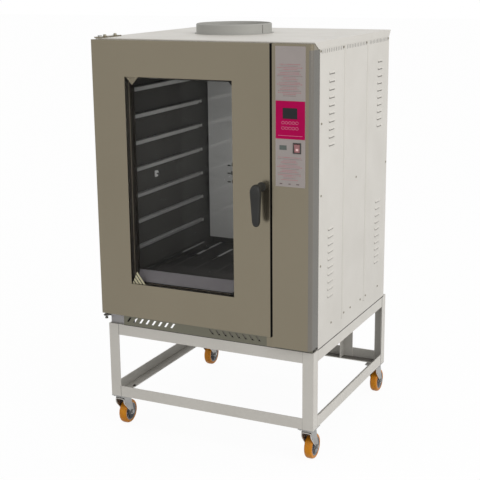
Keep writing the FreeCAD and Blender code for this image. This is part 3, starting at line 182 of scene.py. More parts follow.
class EffectMaker:
    """Builds the node group of one shared effect."""

    def __init__(self, effect: Effect) -> None:
        """Make the group's sockets and fill it.

        Args:
            effect: The effect to build.
        """
        self.tree = bpy.data.node_groups.new(effect.value, "ShaderNodeTree")
        inputs, output = EFFECT_SOCKETS[effect]
        for (name, kind), way in [(pair, "INPUT") for pair in inputs.items()] + [(output, "OUTPUT")]:
            self.tree.interface.new_socket(name, in_out=way, socket_type=f"NodeSocket{kind}")
        self.wires = Wiring(self.tree)
        self.given = self.wires.add("NodeGroupInput").outputs
        self.place = self.wires.add("ShaderNodeTexCoord").outputs["Object"]
        self.wires.add("NodeGroupOutput", {0: getattr(self, effect.value)()})

    def colour_drift(self) -> Socket:
        """Slow change between two close colours, with a fine fleck in it."""
        wires, given = self.wires, self.given
        broad = wires.noise(self.place, given["Scale"], 4.0)
        fine = wires.noise(self.place, wires.math("MULTIPLY", given["Scale"], 60.0), 2.0)
        both = wires.math("ADD", wires.math("MULTIPLY", broad, 0.75), wires.math("MULTIPLY", fine, 0.25))
        return wires.mix(wires.ramp(both, 0.35, 0.65, 0.0, 1.0), given["Base"], given["Shade"])

    def handling_marks(self) -> Socket:
        """Roughness that changes in soft smears."""
        wires, given = self.wires, self.given
        broad = wires.noise(self.place, given["Scale"], 5.0)
        return wires.ramp(broad, 0.3, 0.7, given["Low"], given["High"])

    def settled_dust(self) -> Socket:
        """Dust that lies on what faces up."""
        wires, given = self.wires, self.given
        normal = wires.add("ShaderNodeNewGeometry").outputs["Normal"]
        facing = wires.add("ShaderNodeSeparateXYZ", {0: normal}).outputs["Z"]
        lying = wires.ramp(facing, 0.5, 1.0, 0.0, 1.0)
        patchy = wires.ramp(wires.noise(self.place, 14.0, 5.0), 0.3, 0.7, 0.4, 1.0)
        share = wires.math("MULTIPLY", wires.math("MULTIPLY", lying, patchy), given["Amount"])
        return wires.mix(share, given["Color"], given["Dust"])

    def orange_peel(self) -> Socket:
        """Fine waviness of a sprayed coat."""
        wires, given = self.wires, self.given
        broad = wires.noise(self.place, given["Scale"], 1.0)
        fine = wires.noise(self.place, wires.math("MULTIPLY", given["Scale"], 4.0), 1.0)
        return wires.math("ADD", wires.math("MULTIPLY", broad, 0.8), wires.math("MULTIPLY", fine, 0.2))

    def brushed_lines(self) -> Socket:
        """Hair lines drawn out along one direction."""
        wires, given = self.wires, self.given
        drawn = wires.add("ShaderNodeVectorMath", {0: self.place, 1: given["Stretch"]}, operation="MULTIPLY")
        return wires.noise(drawn.outputs[0], given["Scale"], 3.0)

    def cast_skin(self) -> Socket:
        """Small pits and grains of a moulded or cast face."""
        wires, given = self.wires, self.given
        cells = wires.add("ShaderNodeTexVoronoi", {"Vector": self.place, "Scale": given["Scale"]})
        grain = wires.noise(self.place, given["Scale"], 2.0)
        return wires.math("ADD", wires.math("MULTIPLY", cells.outputs["Distance"], 0.6), grain)


class Grain(Enum):
    """Fine relief of a finish: the shared effect, its scale and the way its lines run."""

    SPRAYED = (Effect.PEEL, 620.0, None)
    SMOOTH = (Effect.PEEL, 260.0, None)
    DRAWN_UP = (Effect.BRUSHED, 30.0, (40.0, 40.0, 1.0))
    DRAWN_ACROSS = (Effect.BRUSHED, 30.0, (1.0, 40.0, 40.0))
    DRAWN_BACK = (Effect.BRUSHED, 30.0, (40.0, 1.0, 40.0))
    CAST = (Effect.CAST, 420.0, None)
    MOULDED = (Effect.CAST, 1500.0, None)
    WOOLLY = (Effect.CAST, 160.0, None)


@dataclass(frozen=True)
class Finish:
    """Look of one material.

    The colour drifts between base and shade, both given as screen colours, the roughness between its
    two limits, and the grain gives the fine relief.
    """

    name: str
    base: Screen
    shade: Screen
    rough: Span = (0.35, 0.45)
    metallic: float = 0.0
    coat: float = 0.0
    coat_rough: float = 0.08
    grain: Grain = Grain.SPRAYED
    relief: float = 0.06
    drift_scale: float = 3.0
    dust: float = 0.0
    glow: float = 0.0
    specular: float = 0.5

    DUST_COLOUR = srgb(196, 192, 184)
    SMEAR_SCALE = 6.0
    RELIEF_DEPTH = 0.4 * MM

    def named(self, name: str, base: Screen, shade: Screen, **changes) -> Self:
        """A finish of the same kind in other colours, with the changes given."""
        return replace(self, name=name, base=base, shade=shade, **changes)

    @staticmethod
    def effect(wires: Wiring, effect: Effect, **inputs) -> Socket:
        """Place a shared effect with the values given."""
        return wires.add("ShaderNodeGroup", inputs, node_tree=effect.group()).outputs[0]

    def shader(self, wires: Wiring) -> bpy.types.Node:
        """The surface shader with its colour, roughness and relief.

        Args:
            wires: Wiring of the material's tree.

        Returns:
            The Principled node.
        """
        base, shade = srgb(*self.base), srgb(*self.shade)
        colour = self.effect(wires, Effect.DRIFT, Base=base, Shade=shade, Scale=self.drift_scale)
        if self.dust:
            colour = self.effect(wires, Effect.DUST, Color=colour, Dust=self.DUST_COLOUR, Amount=self.dust)
        low, high = self.rough
        rough = self.effect(wires, Effect.SMUDGE, Low=low, High=high, Scale=self.SMEAR_SCALE)
        effect, scale, stretch = self.grain.value
        drawn = {"Stretch": stretch} if stretch else {}
        height = self.effect(wires, effect, Scale=scale, **drawn)
        inputs = {"Height": height, "Strength": self.relief, "Distance": self.RELIEF_DEPTH}
        bump = wires.add("ShaderNodeBump", inputs)
        inputs = {
            "Base Color": colour,
            "Roughness": rough,
            "Metallic": self.metallic,
            "Coat Weight": self.coat,
            "Coat Roughness": self.coat_rough,
            "Specular IOR Level": self.specular,
            "Normal": bump.outputs[0],
        }
        if self.glow:
            inputs |= {"Emission Color": colour, "Emission Strength": self.glow}
        return wires.add("ShaderNodeBsdfPrincipled", inputs)

    def surface(self, wires: Wiring) -> Socket:
        """What the material's output shows."""
        return self.shader(wires).outputs[0]

    def material(self) -> bpy.types.Material:
        """The Blender material of this finish, built on first use."""
        label = f"{self.name}_look"
        made = bpy.data.materials.get(label)
        if made:
            return made
        material = bpy.data.materials.new(label)
        wires = Wiring.fresh(material)
        wires.add("ShaderNodeOutputMaterial", {"Surface": self.surface(wires)})
        material.diffuse_color = srgb(*self.base)
        return material


@dataclass(frozen=True)
class Glass(Finish):
    """Clear pane that lets daylight through to what stands behind it."""

    clear: Colour = (0.96, 0.96, 0.96, 1.0)
    clean: float = 0.97
    bending: float = 1.45

    def surface(self, wires: Wiring) -> Socket:
        """Clear glass, and plain see-through for the light that falls through it."""
        shader = self.shader(wires)
        shader.inputs["Transmission Weight"].default_value = 1.0
        shader.inputs["IOR"].default_value = self.bending
        through = wires.add("ShaderNodeBsdfTransparent", {"Color": self.clear})
        path = wires.add("ShaderNodeLightPath").outputs
        falling = wires.math("MAXIMUM", path["Is Shadow Ray"], path["Is Diffuse Ray"])
        inputs = {0: wires.math("MAXIMUM", falling, self.clean), 1: shader.outputs[0], 2: through.outputs[0]}
        return wires.add("ShaderNodeMixShader", inputs).outputs[0]


WHITE_ENAMEL = Finish(
    "white_enamel", (213, 209, 201), (206, 202, 194), (0.42, 0.55), coat=0.1, coat_rough=0.3, dust=0.06
)
COLLAR_GREY = Finish(
    "collar_grey", (172, 171, 165), (164, 163, 158), (0.6, 0.7), metallic=0.05, grain=Grain.SMOOTH,
    relief=0.03, specular=0.2,
)
# Grey painted shade for the stand's inward faces, which the oven above keeps from the light.
INNER_SHADE_GREY = Finish(
    "inner_shade_grey", (190, 187, 180), (180, 177, 170), (0.5, 0.6), drift_scale=6.0, specular=0.25
)
TAUPE_ENAMEL = Finish(
    "taupe_enamel", (133, 125, 108), (130, 122, 105), (0.2, 0.25), metallic=0.85, coat=0.04, coat_rough=0.12,
    grain=Grain.SMOOTH, relief=0.008, drift_scale=1.6, specular=0.3,
)
# Darker taupe: painted shade on the skirt under the door's overhang.
SKIRT_SHADE_TAUPE = TAUPE_ENAMEL.named("skirt_shade_taupe", (110, 108, 95), (106, 104, 92))
# Darker grey taupe: painted reflection on the column's side, and also the colour behind the skirt's slots.
DARK_GREY_TAUPE = TAUPE_ENAMEL.named(
    "dark_grey_taupe", (100, 97, 89), (96, 93, 86), rough=(0.2, 0.26), grain=Grain.DRAWN_UP,
    relief=0.02, drift_scale=3.0,
)
# Lighter grey: painted reflection on the column's bend.
BEND_REFLECTION_GREY = DARK_GREY_TAUPE.named("bend_reflection_grey", (124, 120, 113), (120, 116, 110))
SEAM_DARK = Finish("seam_dark", (118, 115, 110), (106, 103, 98), (0.6, 0.7), relief=0.05, specular=0.2)
SEAM_DEEP = SEAM_DARK.named("seam_deep", (76, 74, 71), (66, 64, 61))
# Near black: painted shade on the front frame and on the strip in the door gap, and the colour of small black
# parts.
DEEP_BLACK = SEAM_DARK.named("deep_black", (22, 21, 20), (17, 16, 15))
LOUVRE_SHADE = SEAM_DARK.named("louvre_shade", (146, 143, 137), (134, 131, 126))
SEAM_SOFT = SEAM_DARK.named("seam_soft", (186, 182, 175), (180, 176, 168), rough=(0.5, 0.6))
# Slightly darker than the panel: painted shade in the side panels' creases.
CREASE_SHADE = SEAM_SOFT.named("crease_shade", (202, 198, 190), (197, 193, 185))
VENT_DARK = SEAM_SOFT.named("vent_dark", (46, 45, 43), (38, 37, 36), specular=0.5)
DARK_STEEL = Finish(
    "dark_steel", (62, 58, 52), (48, 45, 41), (0.35, 0.5), metallic=0.4, grain=Grain.DRAWN_UP, relief=0.1
)
BEAD_BRONZE = Finish(
    "bead_bronze", (126, 116, 100), (112, 102, 88), metallic=0.4, grain=Grain.DRAWN_UP, relief=0.05
)
STAINLESS = Finish(
    "stainless", (168, 168, 168), (146, 147, 148), (0.24, 0.34), metallic=0.9, grain=Grain.DRAWN_UP,
    relief=0.08, drift_scale=5.0,
)
SILL_STEEL = Finish(
    "sill_steel", (200, 192, 194), (180, 172, 174), metallic=0.1, grain=Grain.DRAWN_ACROSS, relief=0.05,
    drift_scale=9.0,
)
CHANNEL_STEEL = SILL_STEEL.named("channel_steel", (114, 110, 112), (104, 100, 102))
BAFFLE_STEEL = Finish(
    "baffle_steel", (215, 215, 212), (209, 209, 206), (0.04, 0.07), metallic=0.45, grain=Grain.DRAWN_UP,
    relief=0.03, drift_scale=4.0,
)
LINER_STEEL = Finish(
    "liner_steel", (205, 205, 202), (192, 192, 190), (0.4, 0.5), grain=Grain.DRAWN_BACK, relief=0.05
)
RAIL_GREY = Finish(
    "rail_grey", (158, 158, 155), (147, 147, 144), (0.6, 0.7), grain=Grain.DRAWN_BACK, specular=0.2
)
CAVITY_ENAMEL = Finish(
    "cavity_enamel", (67, 66, 63), (55, 54, 52), (0.7, 0.8), grain=Grain.CAST, relief=0.1, drift_scale=60.0,
    specular=0.12,
)
ZINC_STEEL = Finish(
    "zinc_steel", (168, 167, 164), (148, 147, 145), (0.3, 0.45), metallic=0.85, grain=Grain.CAST,
    relief=0.12, drift_scale=25.0, dust=0.08,
)
OLIVE_ZINC = Finish(
    "olive_zinc", (150, 144, 128), (134, 128, 112), metallic=0.6, grain=Grain.CAST,
    relief=0.1, drift_scale=30.0,
)
# Lighter zinc: painted highlight on the rolled front edge of the forks.
RIM_HIGHLIGHT_ZINC = OLIVE_ZINC.named(
    "rim_highlight_zinc", (214, 210, 204), (198, 194, 188), rough=(0.3, 0.4), metallic=0.5, relief=0.06
)
BRACKET_ZINC = Finish(
    "bracket_zinc", (150, 148, 148), (138, 136, 136), (0.32, 0.42), metallic=0.7, grain=Grain.DRAWN_UP,
    relief=0.08, drift_scale=8.0,
)
BRASS_FITTING = Finish(
    "brass_fitting", (190, 160, 92), (168, 138, 74), (0.28, 0.4), metallic=0.95, grain=Grain.CAST,
    relief=0.12, drift_scale=30.0,
)
CAST_HUB = Finish(
    "cast_hub", (134, 136, 139), (108, 110, 114), (0.4, 0.55), metallic=0.6, grain=Grain.CAST, relief=0.25,
    drift_scale=30.0,
)
MOTOR_PAINT = Finish(
    "motor_paint", (58, 66, 74), (48, 55, 62), (0.4, 0.5), grain=Grain.CAST, relief=0.2, drift_scale=12.0
)
MINERAL_WOOL = Finish(
    "mineral_wool", (186, 172, 128), (160, 146, 104), (0.9, 1.0), grain=Grain.WOOLLY,
    relief=0.9, drift_scale=30.0,
)
ORANGE_TYRE = Finish(
    "orange_tyre", (214, 138, 12), (200, 122, 8), (0.34, 0.46), grain=Grain.MOULDED, relief=0.08,
    drift_scale=22.0, dust=0.02, specular=0.3,
)
GASKET_RUBBER = Finish(
    "gasket_rubber", (44, 43, 42), (34, 33, 32), (0.55, 0.7), grain=Grain.MOULDED,
    relief=0.15, drift_scale=20.0,
)
HANDLE_PLASTIC = Finish(
    "handle_plastic", (46, 46, 44), (40, 40, 38), (0.4, 0.5), grain=Grain.MOULDED, relief=0.1,
    drift_scale=18.0, specular=0.3,
)
BLACK_PLASTIC = Finish(
    "black_plastic", (66, 62, 58), (56, 53, 50), (0.36, 0.48), grain=Grain.MOULDED,
    relief=0.12, drift_scale=25.0,
)
MODULE_PLASTIC = Finish(
    "module_plastic", (185, 0, 82), (178, 0, 78), (0.4, 0.48), grain=Grain.MOULDED, relief=0.05,
    drift_scale=12.0, specular=0.1,
)
DISPLAY_PLASTIC = Finish(
    "display_plastic", (20, 22, 25), (16, 18, 21), (0.1, 0.16), grain=Grain.SMOOTH, relief=0.01,
    drift_scale=30.0, specular=0.3,
)
ROCKER_PLASTIC = Finish(
    "rocker_plastic", (166, 112, 112), (150, 98, 100), (0.22, 0.3), grain=Grain.SMOOTH, relief=0.02,
    drift_scale=30.0, coat=0.3, glow=0.04,
)
ROCKER_LENS = ROCKER_PLASTIC.named(
    "rocker_lens", (240, 204, 202), (228, 184, 184), rough=(0.2, 0.3), glow=0.1
)
LAMP_LENS = Finish(
    "lamp_lens", (84, 92, 86), (72, 80, 75), (0.2, 0.3), grain=Grain.SMOOTH, relief=0.02, coat=0.3
)
DOOR_GLASS = Glass(
    "door_glass", (246, 247, 246), (240, 242, 240), (0.0, 0.01), grain=Grain.SMOOTH, relief=0.0, specular=0.12
)
CREAM_CLIP = Finish(
    "cream_clip", (214, 208, 176), (198, 190, 156), metallic=0.2, grain=Grain.DRAWN_UP, relief=0.1
)
OVERLAY_FILM = Finish(
    "overlay_film", (161, 152, 148), (155, 147, 143), (0.3, 0.38), metallic=0.35, grain=Grain.DRAWN_ACROSS,
    relief=0.05, drift_scale=10.0,
)
PRINT_ROSE = Finish(
    "print_rose", (174, 116, 122), (164, 108, 115), (0.4, 0.5), grain=Grain.SMOOTH, relief=0.01
)
PRINT_GREY = PRINT_ROSE.named("print_grey", (140, 126, 124), (128, 116, 114))
PRINT_PALE = PRINT_ROSE.named("print_pale", (224, 142, 172), (214, 130, 160))
PRINT_DARK = PRINT_ROSE.named("print_dark", (92, 74, 76), (80, 64, 66))

SLOT_FINISH: dict[str, Finish] = {
    finish.name: finish
    for finish in (
        WHITE_ENAMEL, TAUPE_ENAMEL, DARK_STEEL, ZINC_STEEL, STAINLESS, CAVITY_ENAMEL, CAST_HUB, ORANGE_TYRE,
        MINERAL_WOOL, MOTOR_PAINT, BRASS_FITTING, DOOR_GLASS, GASKET_RUBBER, HANDLE_PLASTIC, MODULE_PLASTIC,
        DISPLAY_PLASTIC, BLACK_PLASTIC, ROCKER_PLASTIC,
    )
}


def placed(name: str, data: bpy.types.ID) -> Object:
    """A new object of the data given, linked to the scene."""
    obj = bpy.data.objects.new(name, data)
    bpy.context.scene.collection.objects.link(obj)
    return obj


class Shaper:
    """Mesh code that the pieces share."""

    SMOOTH_UNDER = math.radians(38)

    @staticmethod
    def lathe(outline: Outline, axis: Axis, centre: Point, segments: int = 72) -> BMesh:
        """Turn an outline round an axis.

        Args:
            outline: Points (along the axis, radius), open when it starts and ends on the axis.
            axis: Axis to turn round.
            centre: Where the axis origin lies.
            segments: Steps round the axis.

        Returns:
            The closed mesh.
        """
        bm = bmesh.new()
        middle = Vector(centre)
        rings = []
        for along, radius in outline:
            steps = segments if radius > 0 else 1
            turns = [2 * math.pi * i / steps for i in range(steps)]
            spots = [axis.point(along, radius * math.cos(t), radius * math.sin(t)) for t in turns]
            rings.append([bm.verts.new(middle + spot) for spot in spots])
        pairs = list(zip(rings, rings[1:]))
        if outline[0][1] > 0 and outline[-1][1] > 0:
            pairs.append((rings[-1], rings[0]))
        for first, second in pairs:
            Shaper.bridge(bm, first, second)
        return bm

    @staticmethod
    def bridge(bm: BMesh, first: list, second: list) -> None:
        """Join two rings of vertices with faces, either of which may be a single point."""
        count = max(len(first), len(second))
        for i in range(count):
            j = (i + 1) % count
            corners = [ring[k % len(ring)] for ring, k in ((first, i), (first, j), (second, j), (second, i))]
            bm.faces.new(list(dict.fromkeys(corners)))

    @staticmethod
    def loft(loops: Sequence[Sequence[Vector]]) -> BMesh:
        """Skin a row of loops of equal count and close both ends."""
        bm = bmesh.new()
        rings = [[bm.verts.new(spot) for spot in loop] for loop in loops]
        for first, second in zip(rings, rings[1:]):
            Shaper.bridge(bm, first, second)
        bm.faces.new(rings[0])
        bm.faces.new(list(reversed(rings[-1])))
        return bm

    @staticmethod
    def squarish(half_u: float, half_v: float, power: float, count: int) -> list[Span]:
        """Points of a rounded square outline, rounder for a lower power."""
        spots = []
        for i in range(count):
            turn = 2 * math.pi * i / count
            c, s = math.cos(turn), math.sin(turn)
            u = half_u * math.copysign(abs(c) ** (2 / power), c)
            v = half_v * math.copysign(abs(s) ** (2 / power), s)
            spots.append((u, v))
        return spots

    @staticmethod
    def block(low: Point, high: Point, bevel: float, steps: int = 3) -> BMesh:
        """A rectangular body with rounded edges."""
        bm = bmesh.new()
        lo, hi = Vector(low), Vector(high)
        place = Matrix.Translation((lo + hi) / 2) @ Matrix.Diagonal((*(hi - lo), 1))
        bmesh.ops.create_cube(bm, size=1.0, matrix=place)
        edges = list(bm.edges)
        bmesh.ops.bevel(
            bm, geom=edges, offset=bevel, segments=steps, profile=0.5, affect="EDGES", clamp_overlap=True
        )
        return bm

    @staticmethod
    def tube(path: Sequence[Point], radius: float, sides: int = 10) -> BMesh:
        """A round bar along a path that never runs along Y and a little up."""
        spots = [Vector(spot) for spot in path]
        steady = Vector((0.0, 1.0, 0.5))
        loops = []
        for i, spot in enumerate(spots):
            along = spots[min(i + 1, len(spots) - 1)] - spots[max(i - 1, 0)]
            across = along.cross(steady).normalized()
            over = along.cross(across).normalized()
            turns = [2 * math.pi * k / sides for k in range(sides)]
            loops.append([spot + radius * (across * math.cos(t) + over * math.sin(t)) for t in turns])
        return Shaper.loft(loops)

    @staticmethod
    def prism(outline: Outline, axis: Axis, start: float, end: float) -> BMesh:
        """A plate or bar along an axis, from an outline across it."""
        return Shaper.loft([[axis.point(along, u, v) for u, v in outline] for along in (start, end)])

    @staticmethod
    def sheet_with_holes(
        x_span: Span, z_span: Span, holes: Sequence[tuple[Span, Span]], front: float, back: float
    ) -> BMesh:
        """A flat sheet across Y with rectangular holes.

        Args:
            x_span: Left and right edge.
            z_span: Lower and upper edge.
            holes: Boxes (x span, z span) that stay open.
            front: Front face.
            back: Back face.

        Returns:
            The closed mesh.
        """
        xs = sorted({*x_span, *(x for hole in holes for x in hole[0])})
        zs = sorted({*z_span, *(z for hole in holes for z in hole[1])})
        bm = bmesh.new()
        for x0, x1 in zip(xs, xs[1:]):
            for z0, z1 in zip(zs, zs[1:]):
                x, z = (x0 + x1) / 2, (z0 + z1) / 2
                if any(hx[0] < x < hx[1] and hz[0] < z < hz[1] for hx, hz in holes):
                    continue
                corners = ((x0, z0), (x1, z0), (x1, z1), (x0, z1))
                bm.faces.new([bm.verts.new((u, front, w)) for u, w in corners])
        bmesh.ops.remove_doubles(bm, verts=list(bm.verts), dist=SAME_SPOT)
        made = bmesh.ops.extrude_face_region(bm, geom=list(bm.faces))
        moved = [item for item in made["geom"] if isinstance(item, bmesh.types.BMVert)]
        bmesh.ops.translate(bm, verts=moved, vec=(0, back - front, 0))
        return bm

    @staticmethod
    def merged(*parts: BMesh) -> BMesh:
        """One mesh of several."""
        whole = bmesh.new()
        for part in parts:
            mesh = bpy.data.meshes.new("part")
            part.to_mesh(mesh)
            part.free()
            whole.from_mesh(mesh)
            bpy.data.meshes.remove(mesh)
        return whole

    @staticmethod
    def shade(mesh: bpy.types.Mesh) -> None:
        """Smooth the shading over shallow edges."""
        mesh.polygons.foreach_set("use_smooth", [True] * len(mesh.polygons))
        mesh.set_sharp_from_angle(angle=Shaper.SMOOTH_UNDER)

    @staticmethod
    def piece(name: str, bm: BMesh, finish: Finish) -> Object:
        """Make an object of a mesh, its faces turned outwards.

        Args:
            name: Name of the piece.
            bm: Mesh code's result, used up here.
            finish: Its finish.

        Returns:
            The new object.
        """
        bmesh.ops.recalc_face_normals(bm, faces=list(bm.faces))
        mesh = bpy.data.meshes.new(name)
        bm.to_mesh(mesh)
        bm.free()
        mesh.materials.append(finish.material())
        Shaper.shade(mesh)
        return placed(name, mesh)


def settle(obj: Object, body: str, slot: str, *stands_for: str) -> Object:
    """Let a piece ride on a body and hide the frame's nodes that it stands for.

    Args:
        obj: The finished piece.
        body: Body that it moves with.
        slot: Material slot of the record; not used.
        *stands_for: Nodes of the frame that it replaces.

    Returns:
        The piece.
    """
    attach(obj, body)
    if stands_for:
        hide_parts(*stands_for)
    LOG.info("%s rides on %s with %d faces", obj.name, body, len(obj.data.polygons))
    return obj


def fit(name: str, shape: BMesh, finish: Finish, body: str, slot: str, *stands_for: str) -> None:
    """Make a piece of a mesh and settle it on its body."""
    settle(Shaper.piece(name, shape, finish), body, slot, *stands_for)


class Head(Enum):
    """Kinds of fastener head: sides, then steps of (rise share, width share)."""

    PAN_SCREW = (14, ((0.5, 1.0), (0.32, 0.84), (0.18, 0.6), (0.0, 0.36), (-0.4, 0.34)))
    HEX_BOLT = (6, ((0.82, 1.0), (0.18, 0.86)))
    RIVET = (12, ((0.45, 0.94), (0.35, 0.74), (0.2, 0.4)))


@dataclass
class Repeats:
    """Geometry Nodes tree that sets one small shape at every point of a piece.

    Its inputs are named with their kinds. The points come before them and the finish after them.
    """

    name: str
    inputs: dict[str, str]

    def __post_init__(self) -> None:
        """Start the tree with its sockets."""
        self.tree = bpy.data.node_groups.new(self.name, "GeometryNodeTree")
        self.wires = Wiring(self.tree)
        for name, kind in {"Points": "Geometry", **self.inputs, "Finish": "Material"}.items():
            self.tree.interface.new_socket(name, in_out="INPUT", socket_type=f"NodeSocket{kind}")
        self.tree.interface.new_socket("Geometry", in_out="OUTPUT", socket_type="NodeSocketGeometry")
        self.given = self.wires.add("NodeGroupInput").outputs

    def stepped(self, sides: int, radius, height, steps: Outline) -> Socket:
        """A closed solid raised in steps from a flat outline.

        Args:
            sides: Corners of the outline.
            radius: Radius of the outline.
            height: Full height.
            steps: For each step, its share of the height and its width against the outline.

        Returns:
            The mesh socket.
        """
        wires = self.wires
        up = wires.add("ShaderNodeCombineXYZ", {"Z": 1.0}).outputs[0]
        inputs = {"Vertices": sides, "Radius": radius}
        disc = wires.add("GeometryNodeMeshCircle", inputs, fill_type="NGON").outputs[0]
        mesh, top, width = disc, None, 1.0
        for rise, share in steps:
            lift = wires.math("MULTIPLY", height, rise)
            inputs = {"Mesh": mesh, "Offset": up, "Offset Scale": lift, "Individual": False}
            if top is not None:
                inputs["Selection"] = top
            raised = wires.add("GeometryNodeExtrudeMesh", inputs, mode="FACES")
            mesh, top = raised.outputs["Mesh"], raised.outputs["Top"]
            if share != width:
                inputs = {"Geometry": mesh, "Selection": top, "Scale": share / width}
                mesh = wires.add("GeometryNodeScaleElements", inputs).outputs[0]
                width = share
        under = wires.add("GeometryNodeFlipFaces", {"Mesh": disc}).outputs[0]
        inputs = {"Geometry": self.join(mesh, under), "Distance": SAME_SPOT}
        return wires.add("GeometryNodeMergeByDistance", inputs).outputs[0]

    def join(self, *parts: Socket) -> Socket:
        """Several meshes as one."""
        joined = self.wires.add("GeometryNodeJoinGeometry")
        for part in parts:
            self.tree.links.new(part, joined.inputs[0])
        return joined.outputs[0]

    def stretched(self, shape: Socket, share) -> Socket:
        """A shape drawn out along its own X."""
        scale = self.wires.add("ShaderNodeCombineXYZ", {"X": share, "Y": 1.0, "Z": 1.0}).outputs[0]
        return self.wires.add("GeometryNodeTransform", {"Geometry": shape, "Scale": scale}).outputs[0]

    def between(self, low, high) -> Socket:
        """A random value for each point, with the seed that the tree is given and the float sockets."""
        inputs = {2: low, 3: high, "Seed": self.given["Seed"]}
        return self.wires.add("FunctionNodeRandomValue", inputs, data_type="FLOAT").outputs[1]

    def close(self, shape: Socket, scale: Socket | None = None) -> Self:
        """Set the shape at every point, turned to the point's facing, and dress it.

        Args:
            shape: What is set.
            scale: Its scale at each point, where it changes.

        Returns:
            The finished tree.
        """
        wires = self.wires
        facing = wires.add("GeometryNodeInputNamedAttribute", {"Name": "facing"}, data_type="FLOAT_VECTOR")
        turned = wires.add("FunctionNodeAlignRotationToVector", {"Vector": facing.outputs[0]}, axis="Z")
        inputs = {"Points": self.given["Points"], "Instance": shape, "Rotation": turned.outputs[0]}
        if scale is not None:
            inputs["Scale"] = scale
        set_out = wires.add("GeometryNodeInstanceOnPoints", inputs).outputs[0]
        real = wires.add("GeometryNodeRealizeInstances", {"Geometry": set_out}).outputs[0]
        dressed = wires.add("GeometryNodeSetMaterial", {"Geometry": real, "Material": self.given["Finish"]})
        wires.add("NodeGroupOutput", {0: dressed.outputs[0]})
        return self

    def run(
        self, name: str, points: Sequence[Point], ways: Sequence[Point], finish: Finish, values: dict
    ) -> Object:
        """Run the tree on a set of points and keep the result as a plain mesh.

        Args:
            name: Name of the piece.
            points: Where the shape goes.
            ways: The ways that it faces, taken in turn.
            finish: Finish of the piece.
            values: Values of the tree's named inputs.

        Returns:
            The piece, with no modifier left.
        """
        mesh = bpy.data.meshes.new(name)
        mesh.from_pydata([tuple(p) for p in points], [], [])
        facing = mesh.attributes.new("facing", "FLOAT_VECTOR", "POINT")
        turns = len(points) // len(ways)
        facing.data.foreach_set("vector", [c for way in list(ways) * turns for c in way])
        obj = placed(name, mesh)
        modifier = obj.modifiers.new("repeats", "NODES")
        modifier.node_group = self.tree
        sockets = {i.name: i.identifier for i in self.tree.interface.items_tree if i.in_out == "INPUT"}
        for key, value in {**values, "Finish": finish.material()}.items():
            modifier[sockets[key]] = value
        made = bpy.data.meshes.new_from_object(obj.evaluated_get(bpy.context.evaluated_depsgraph_get()))
        obj.modifiers.remove(modifier)
        obj.data = made
        bpy.data.meshes.remove(mesh)
        bm = bmesh.new()
        bm.from_mesh(made)
        bmesh.ops.recalc_face_normals(bm, faces=list(bm.faces))
        bm.to_mesh(made)
        bm.free()
        Shaper.shade(made)
        return obj


class Fasteners:
    """Rows of screws, bolts and rivets on the oven."""

    SIZES = ("Head Radius", "Head Height", "Washer Radius")
    WASHER_REACH = 1.35
    WASHER_THICK = 0.22
    WASHER = (20, ((0.8, 1.0), (0.2, 0.95)))
    trees: dict[Head, Repeats] = {}

    @classmethod
    def tree(cls, head: Head) -> Repeats:
        """The tree of one kind of head, built on first use."""
        if head not in cls.trees:
            made = Repeats(f"{head.name.lower()}_row", dict.fromkeys(cls.SIZES, "Float"))
            radius, height, reach = (made.given[name] for name in cls.SIZES)
            sides, steps = head.value
            shape = made.stepped(sides, radius, height, steps)
            if head is Head.HEX_BOLT:
                thin = made.wires.math("MULTIPLY", height, cls.WASHER_THICK)
                sides, steps = cls.WASHER
                shape = made.join(shape, made.stepped(sides, reach, thin, steps))
            cls.trees[head] = made.close(shape)
        return cls.trees[head]

    @classmethod
    def row(
        cls, name: str, head: Head, points: Sequence[Point], way: Point, size: Span, finish: Finish,
        slot: str = "zinc_steel",
    ) -> None:
        """Set one kind of head at points that all face the same way.

        Args:
            name: Name of the piece.
            head: Kind of head.
            points: Where the heads sit.
            way: The way they face.
            size: Radius and height of a head.
            finish: Their finish.
            slot: Material slot of the record.
        """
        radius, height = size
        values = dict(zip(cls.SIZES, (radius, height, cls.WASHER_REACH * radius)))
        settle(cls.tree(head).run(name, points, [way], finish, values), "oven", slot)


class Strips:
    """Rows of thin flat strips on the oven."""

    SEED = 11
    made: Repeats | None = None

    @classmethod
    def tree(cls) -> Repeats:
        """The tree of the strips, built on first use."""
        if cls.made is None:
            made = Repeats("strip_rows", {"Strip Size": "Vector", "Uneven": "Float", "Seed": "Int"})
            bar = made.wires.add("GeometryNodeMeshCube", {"Size": made.given["Strip Size"]}).outputs[0]
            length = made.between(made.wires.math("SUBTRACT", 1.0, made.given["Uneven"]), 1.0)
            scale = made.wires.add("ShaderNodeCombineXYZ", {"X": length, "Y": 1.0, "Z": 1.0}).outputs[0]
            cls.made = made.close(bar, scale)
        return cls.made

    @classmethod
    def row(
        cls, name: str, points: Sequence[Point], ways: Sequence[Point], size: Point, finish: Finish,
        slot: str, uneven: float = 0.0,
    ) -> None:
        """Set a strip at every point, half sunk into the face below it.

        Args:
            name: Name of the piece.
            points: Middles of the strips.
            ways: The ways that they face, taken in turn.
            size: Sizes across, along and out of the face.
            finish: Finish of the strips.
            slot: Material slot of the record.
            uneven: Share by which the first size may shrink, at random with a fixed seed.
        """
        values = {"Strip Size": size, "Uneven": uneven, "Seed": cls.SEED}
        settle(cls.tree().run(name, points, ways, finish, values), "oven", slot)


